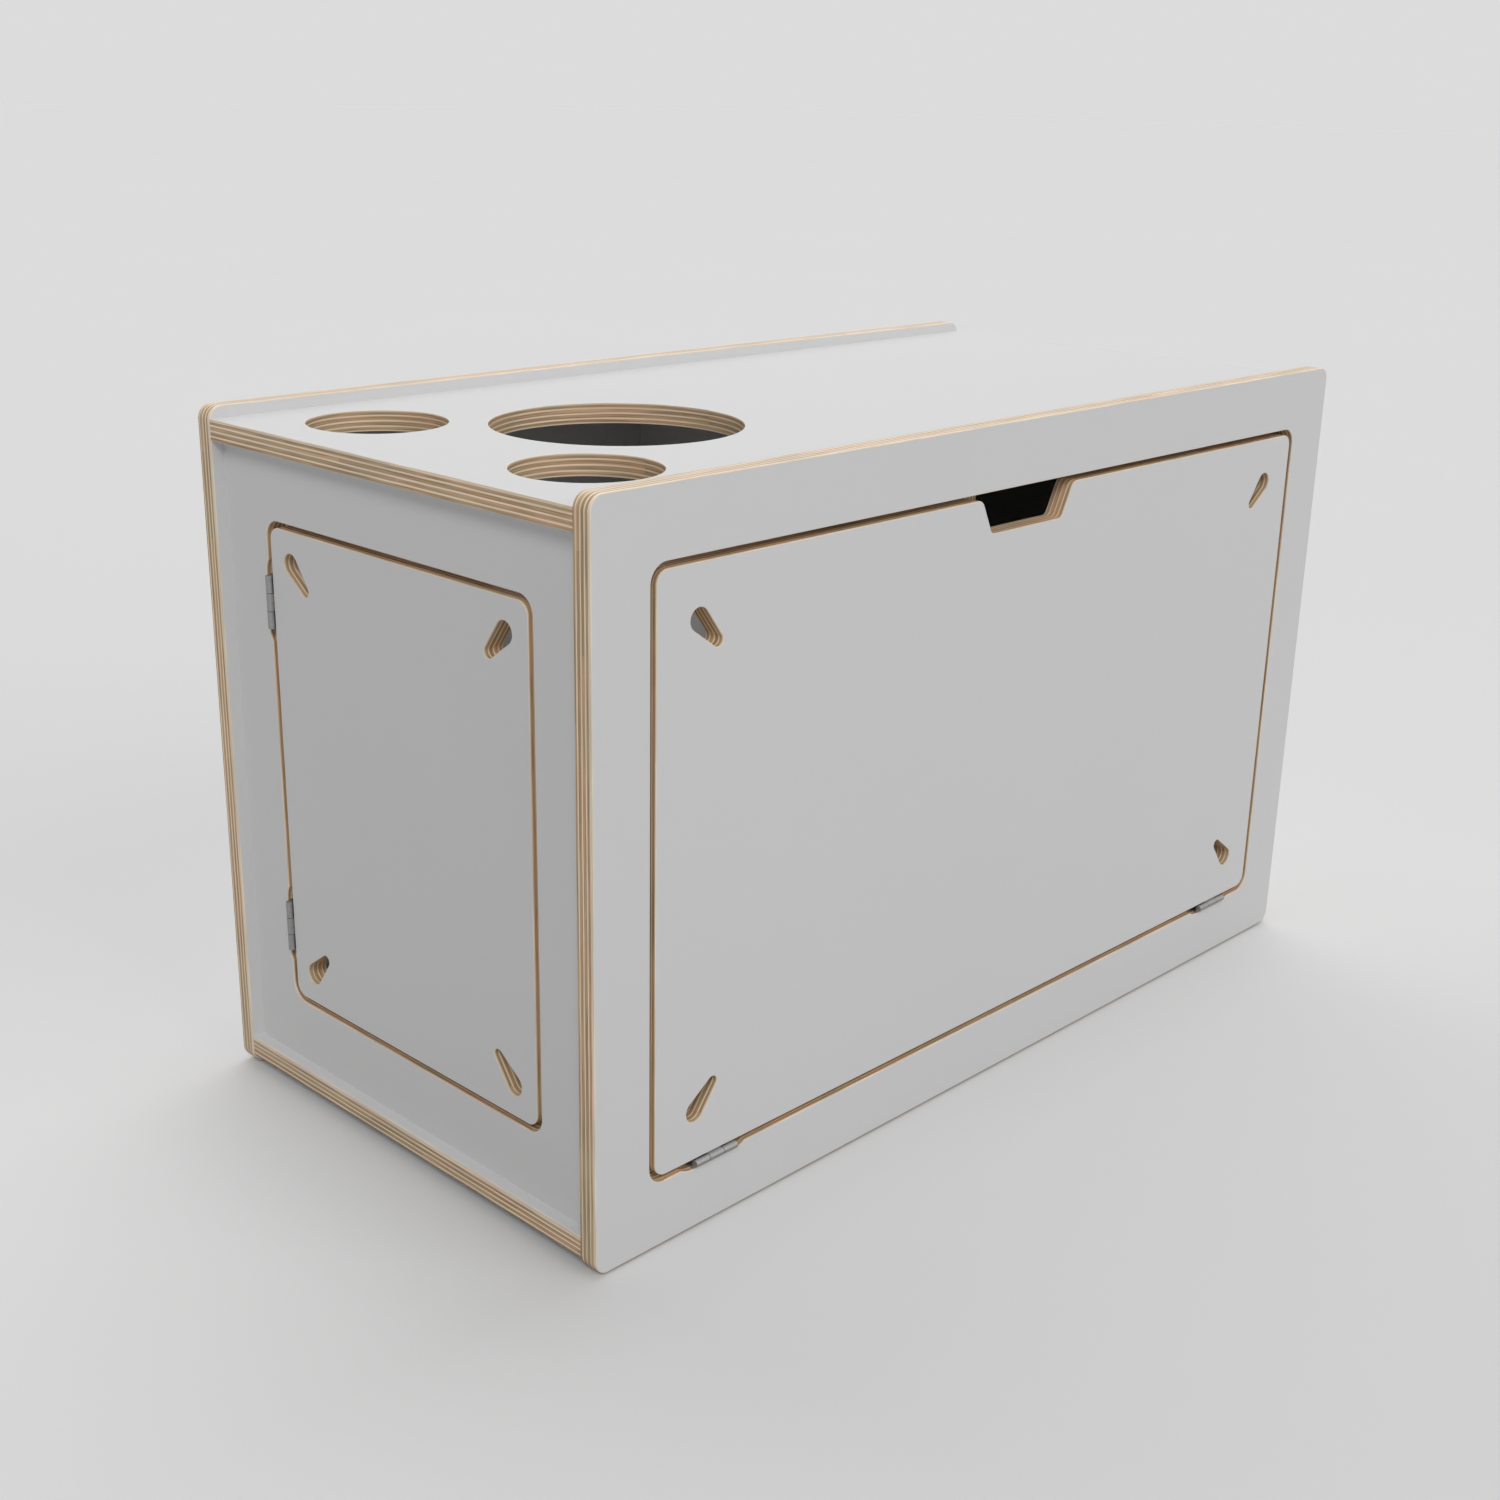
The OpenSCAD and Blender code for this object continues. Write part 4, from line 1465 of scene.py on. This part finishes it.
@dataclass(frozen=True)
class SoftLight:
    """A sun as wide as a soft box.

    Attributes:
        name: The lamp's name.
        towards: Direction from the chest to the lamp.
        level: What it adds to a surface that faces it, where 1 lights a
            white surface to white.
        width: Angle across it, in degrees.
    """

    name: str
    towards: Triple
    level: float
    width: float

    def build(self) -> None:
        """Adds the lamp, with its strength in watts a square metre."""
        data = bpy.data.lights.new(self.name, "SUN")
        data.energy = self.level * math.pi
        data.angle = math.radians(self.width)
        item = bpy.data.objects.new(self.name, data)
        item.rotation_euler = Vector(self.towards).to_track_quat("Z", "Y").to_euler()
        bpy.context.scene.collection.objects.link(item)


@dataclass
class Studio:
    """A pale floor that runs to the horizon, an even sky and soft lights.

    Attributes:
        floor_size: Side of the floor's square, in metres.
        floor_gap: How far the floor lies below the chest, in metres.
        floor_colour: Grey of the floor where the camera sees it.
        floor_bounce: Grey of the floor where it lights the chest.
        floor_roughness: Roughness of the floor.
        painted_floor_shade: Factor of the floor's grey in front of the chest, a painted shade that stands
            in for the chest's soft shadow there.
        painted_shade_middle: Middle of that painted shade, in metres.
        painted_shade_reach: Distances from its middle at which the painted shade
            starts to fade and is gone, in metres.
        cloud_scale: How many faint clouds there are in a metre of floor.
        clouds: Factors of the floor's grey, from the darkest cloud to the
            palest.
        backdrop: Grey of the world where the camera or a reflection sees it.
        sky: Grey of the world where it lights the chest.
        lights: The lamps.
    """

    floor_size: float = 60.0
    floor_gap: float = 0.0015
    floor_colour: float = 0.808
    floor_bounce: float = 0.55
    floor_roughness: float = 0.9
    # A painted shade on the floor round the chest, standing in for its soft shadow.
    painted_floor_shade: float = 0.915
    painted_shade_middle: Triple = (0.0, -0.35, 0.0)
    painted_shade_reach: Range = (0.2, 0.6)
    cloud_scale: float = 1.5
    clouds: Range = (0.998, 1.002)
    backdrop: float = 0.716
    sky: float = 0.25
    lights: Tuple[SoftLight, ...] = (
        SoftLight("overhead", (0.12, 0.0, 1.0), 0.096, 20.0),
        SoftLight("back_light", (0.7, 0.7, 1.0), 0.305, 68.0),
        SoftLight("corner_light", (-1.08, -1.0, 1.4), 0.34, 24.0),
        SoftLight("front_fill", (0.25, -1.0, 0.45), 0.2235, 50.0),
    )

    def paper(self) -> bpy.types.Material:
        """The floor's material, with a painted shade that makes it a little darker near the chest than far
        away, in place of the chest's soft shadow.

        Returns:
            The material.
        """
        made, graph, bsdf = shader("floor_paper", Roughness=self.floor_roughness, Specular_IOR_Level=0.0)
        place = graph.node("TexCoord").outputs["Object"]
        ends = {0: place, 1: self.painted_shade_middle}
        away = graph.node("VectorMath", ends, operation="DISTANCE").outputs["Value"]
        # Painted shade: the floor's grey is darkened round a point in front of the chest, standing in for
        # the chest's soft shadow on it.
        shade = graph.span(away, self.painted_shade_reach, (self.painted_floor_shade, 1.0))
        cloud = graph.span(graph.noise(place, self.cloud_scale), MOST_NOISE, self.clouds)
        seen = graph.node("LightPath").outputs["Is Camera Ray"]
        level = graph.span(seen, (0.0, 1.0), (self.floor_bounce, self.floor_colour))
        level = graph.math("MULTIPLY", graph.math("MULTIPLY", shade, cloud), level)
        graph.feed(bsdf.inputs["Base Color"], graph.grey(level))
        return made

    def floor(self) -> None:
        """A flat square, low enough for a thin line of shade under the chest."""
        half, z = self.floor_size / 2, -self.floor_gap
        corners = [(-half, -half, z), (half, -half, z), (half, half, z), (-half, half, z)]
        mesh = bpy.data.meshes.new("floor")
        mesh.from_pydata(corners, [], [(0, 1, 2, 3)])
        mesh.materials.append(self.paper())
        item = bpy.data.objects.new("floor", mesh)
        bpy.context.scene.collection.objects.link(item)

    def world(self) -> None:
        """Even light, but the backdrop's own grey where it is seen."""
        world = bpy.data.worlds.new("studio")
        world.use_nodes = True
        graph = Graph(world.node_tree)
        ray = graph.node("LightPath").outputs
        bounced = graph.math("MAXIMUM", ray["Is Glossy Ray"], ray["Is Transmission Ray"])
        seen = graph.math("MAXIMUM", ray["Is Camera Ray"], bounced)
        back = next(node for node in world.node_tree.nodes if node.type == "BACKGROUND")
        grey = graph.grey(graph.span(seen, (0.0, 1.0), (self.sky, self.backdrop)))
        graph.feed(back.inputs["Color"], grey)
        bpy.context.scene.world = world

    def build(self) -> None:
        """Sets the whole studio up."""
        bpy.context.scene.view_settings.view_transform = "Standard"
        self.floor()
        self.world()
        for light in self.lights:
            light.build()
        Camera().place()


def main() -> None:
    """Builds the studio and the chest in order."""
    logging.basicConfig(level=logging.INFO, format="%(name)s: %(message)s")
    Studio().build()
    finishes = Finishes()
    carcass = Carcass()
    replaced = carcass.build(finishes) + Doors(carcass).build(finishes)
    Hardware(finishes).dress([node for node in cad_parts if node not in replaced])


if __name__ == "__main__":
    main()
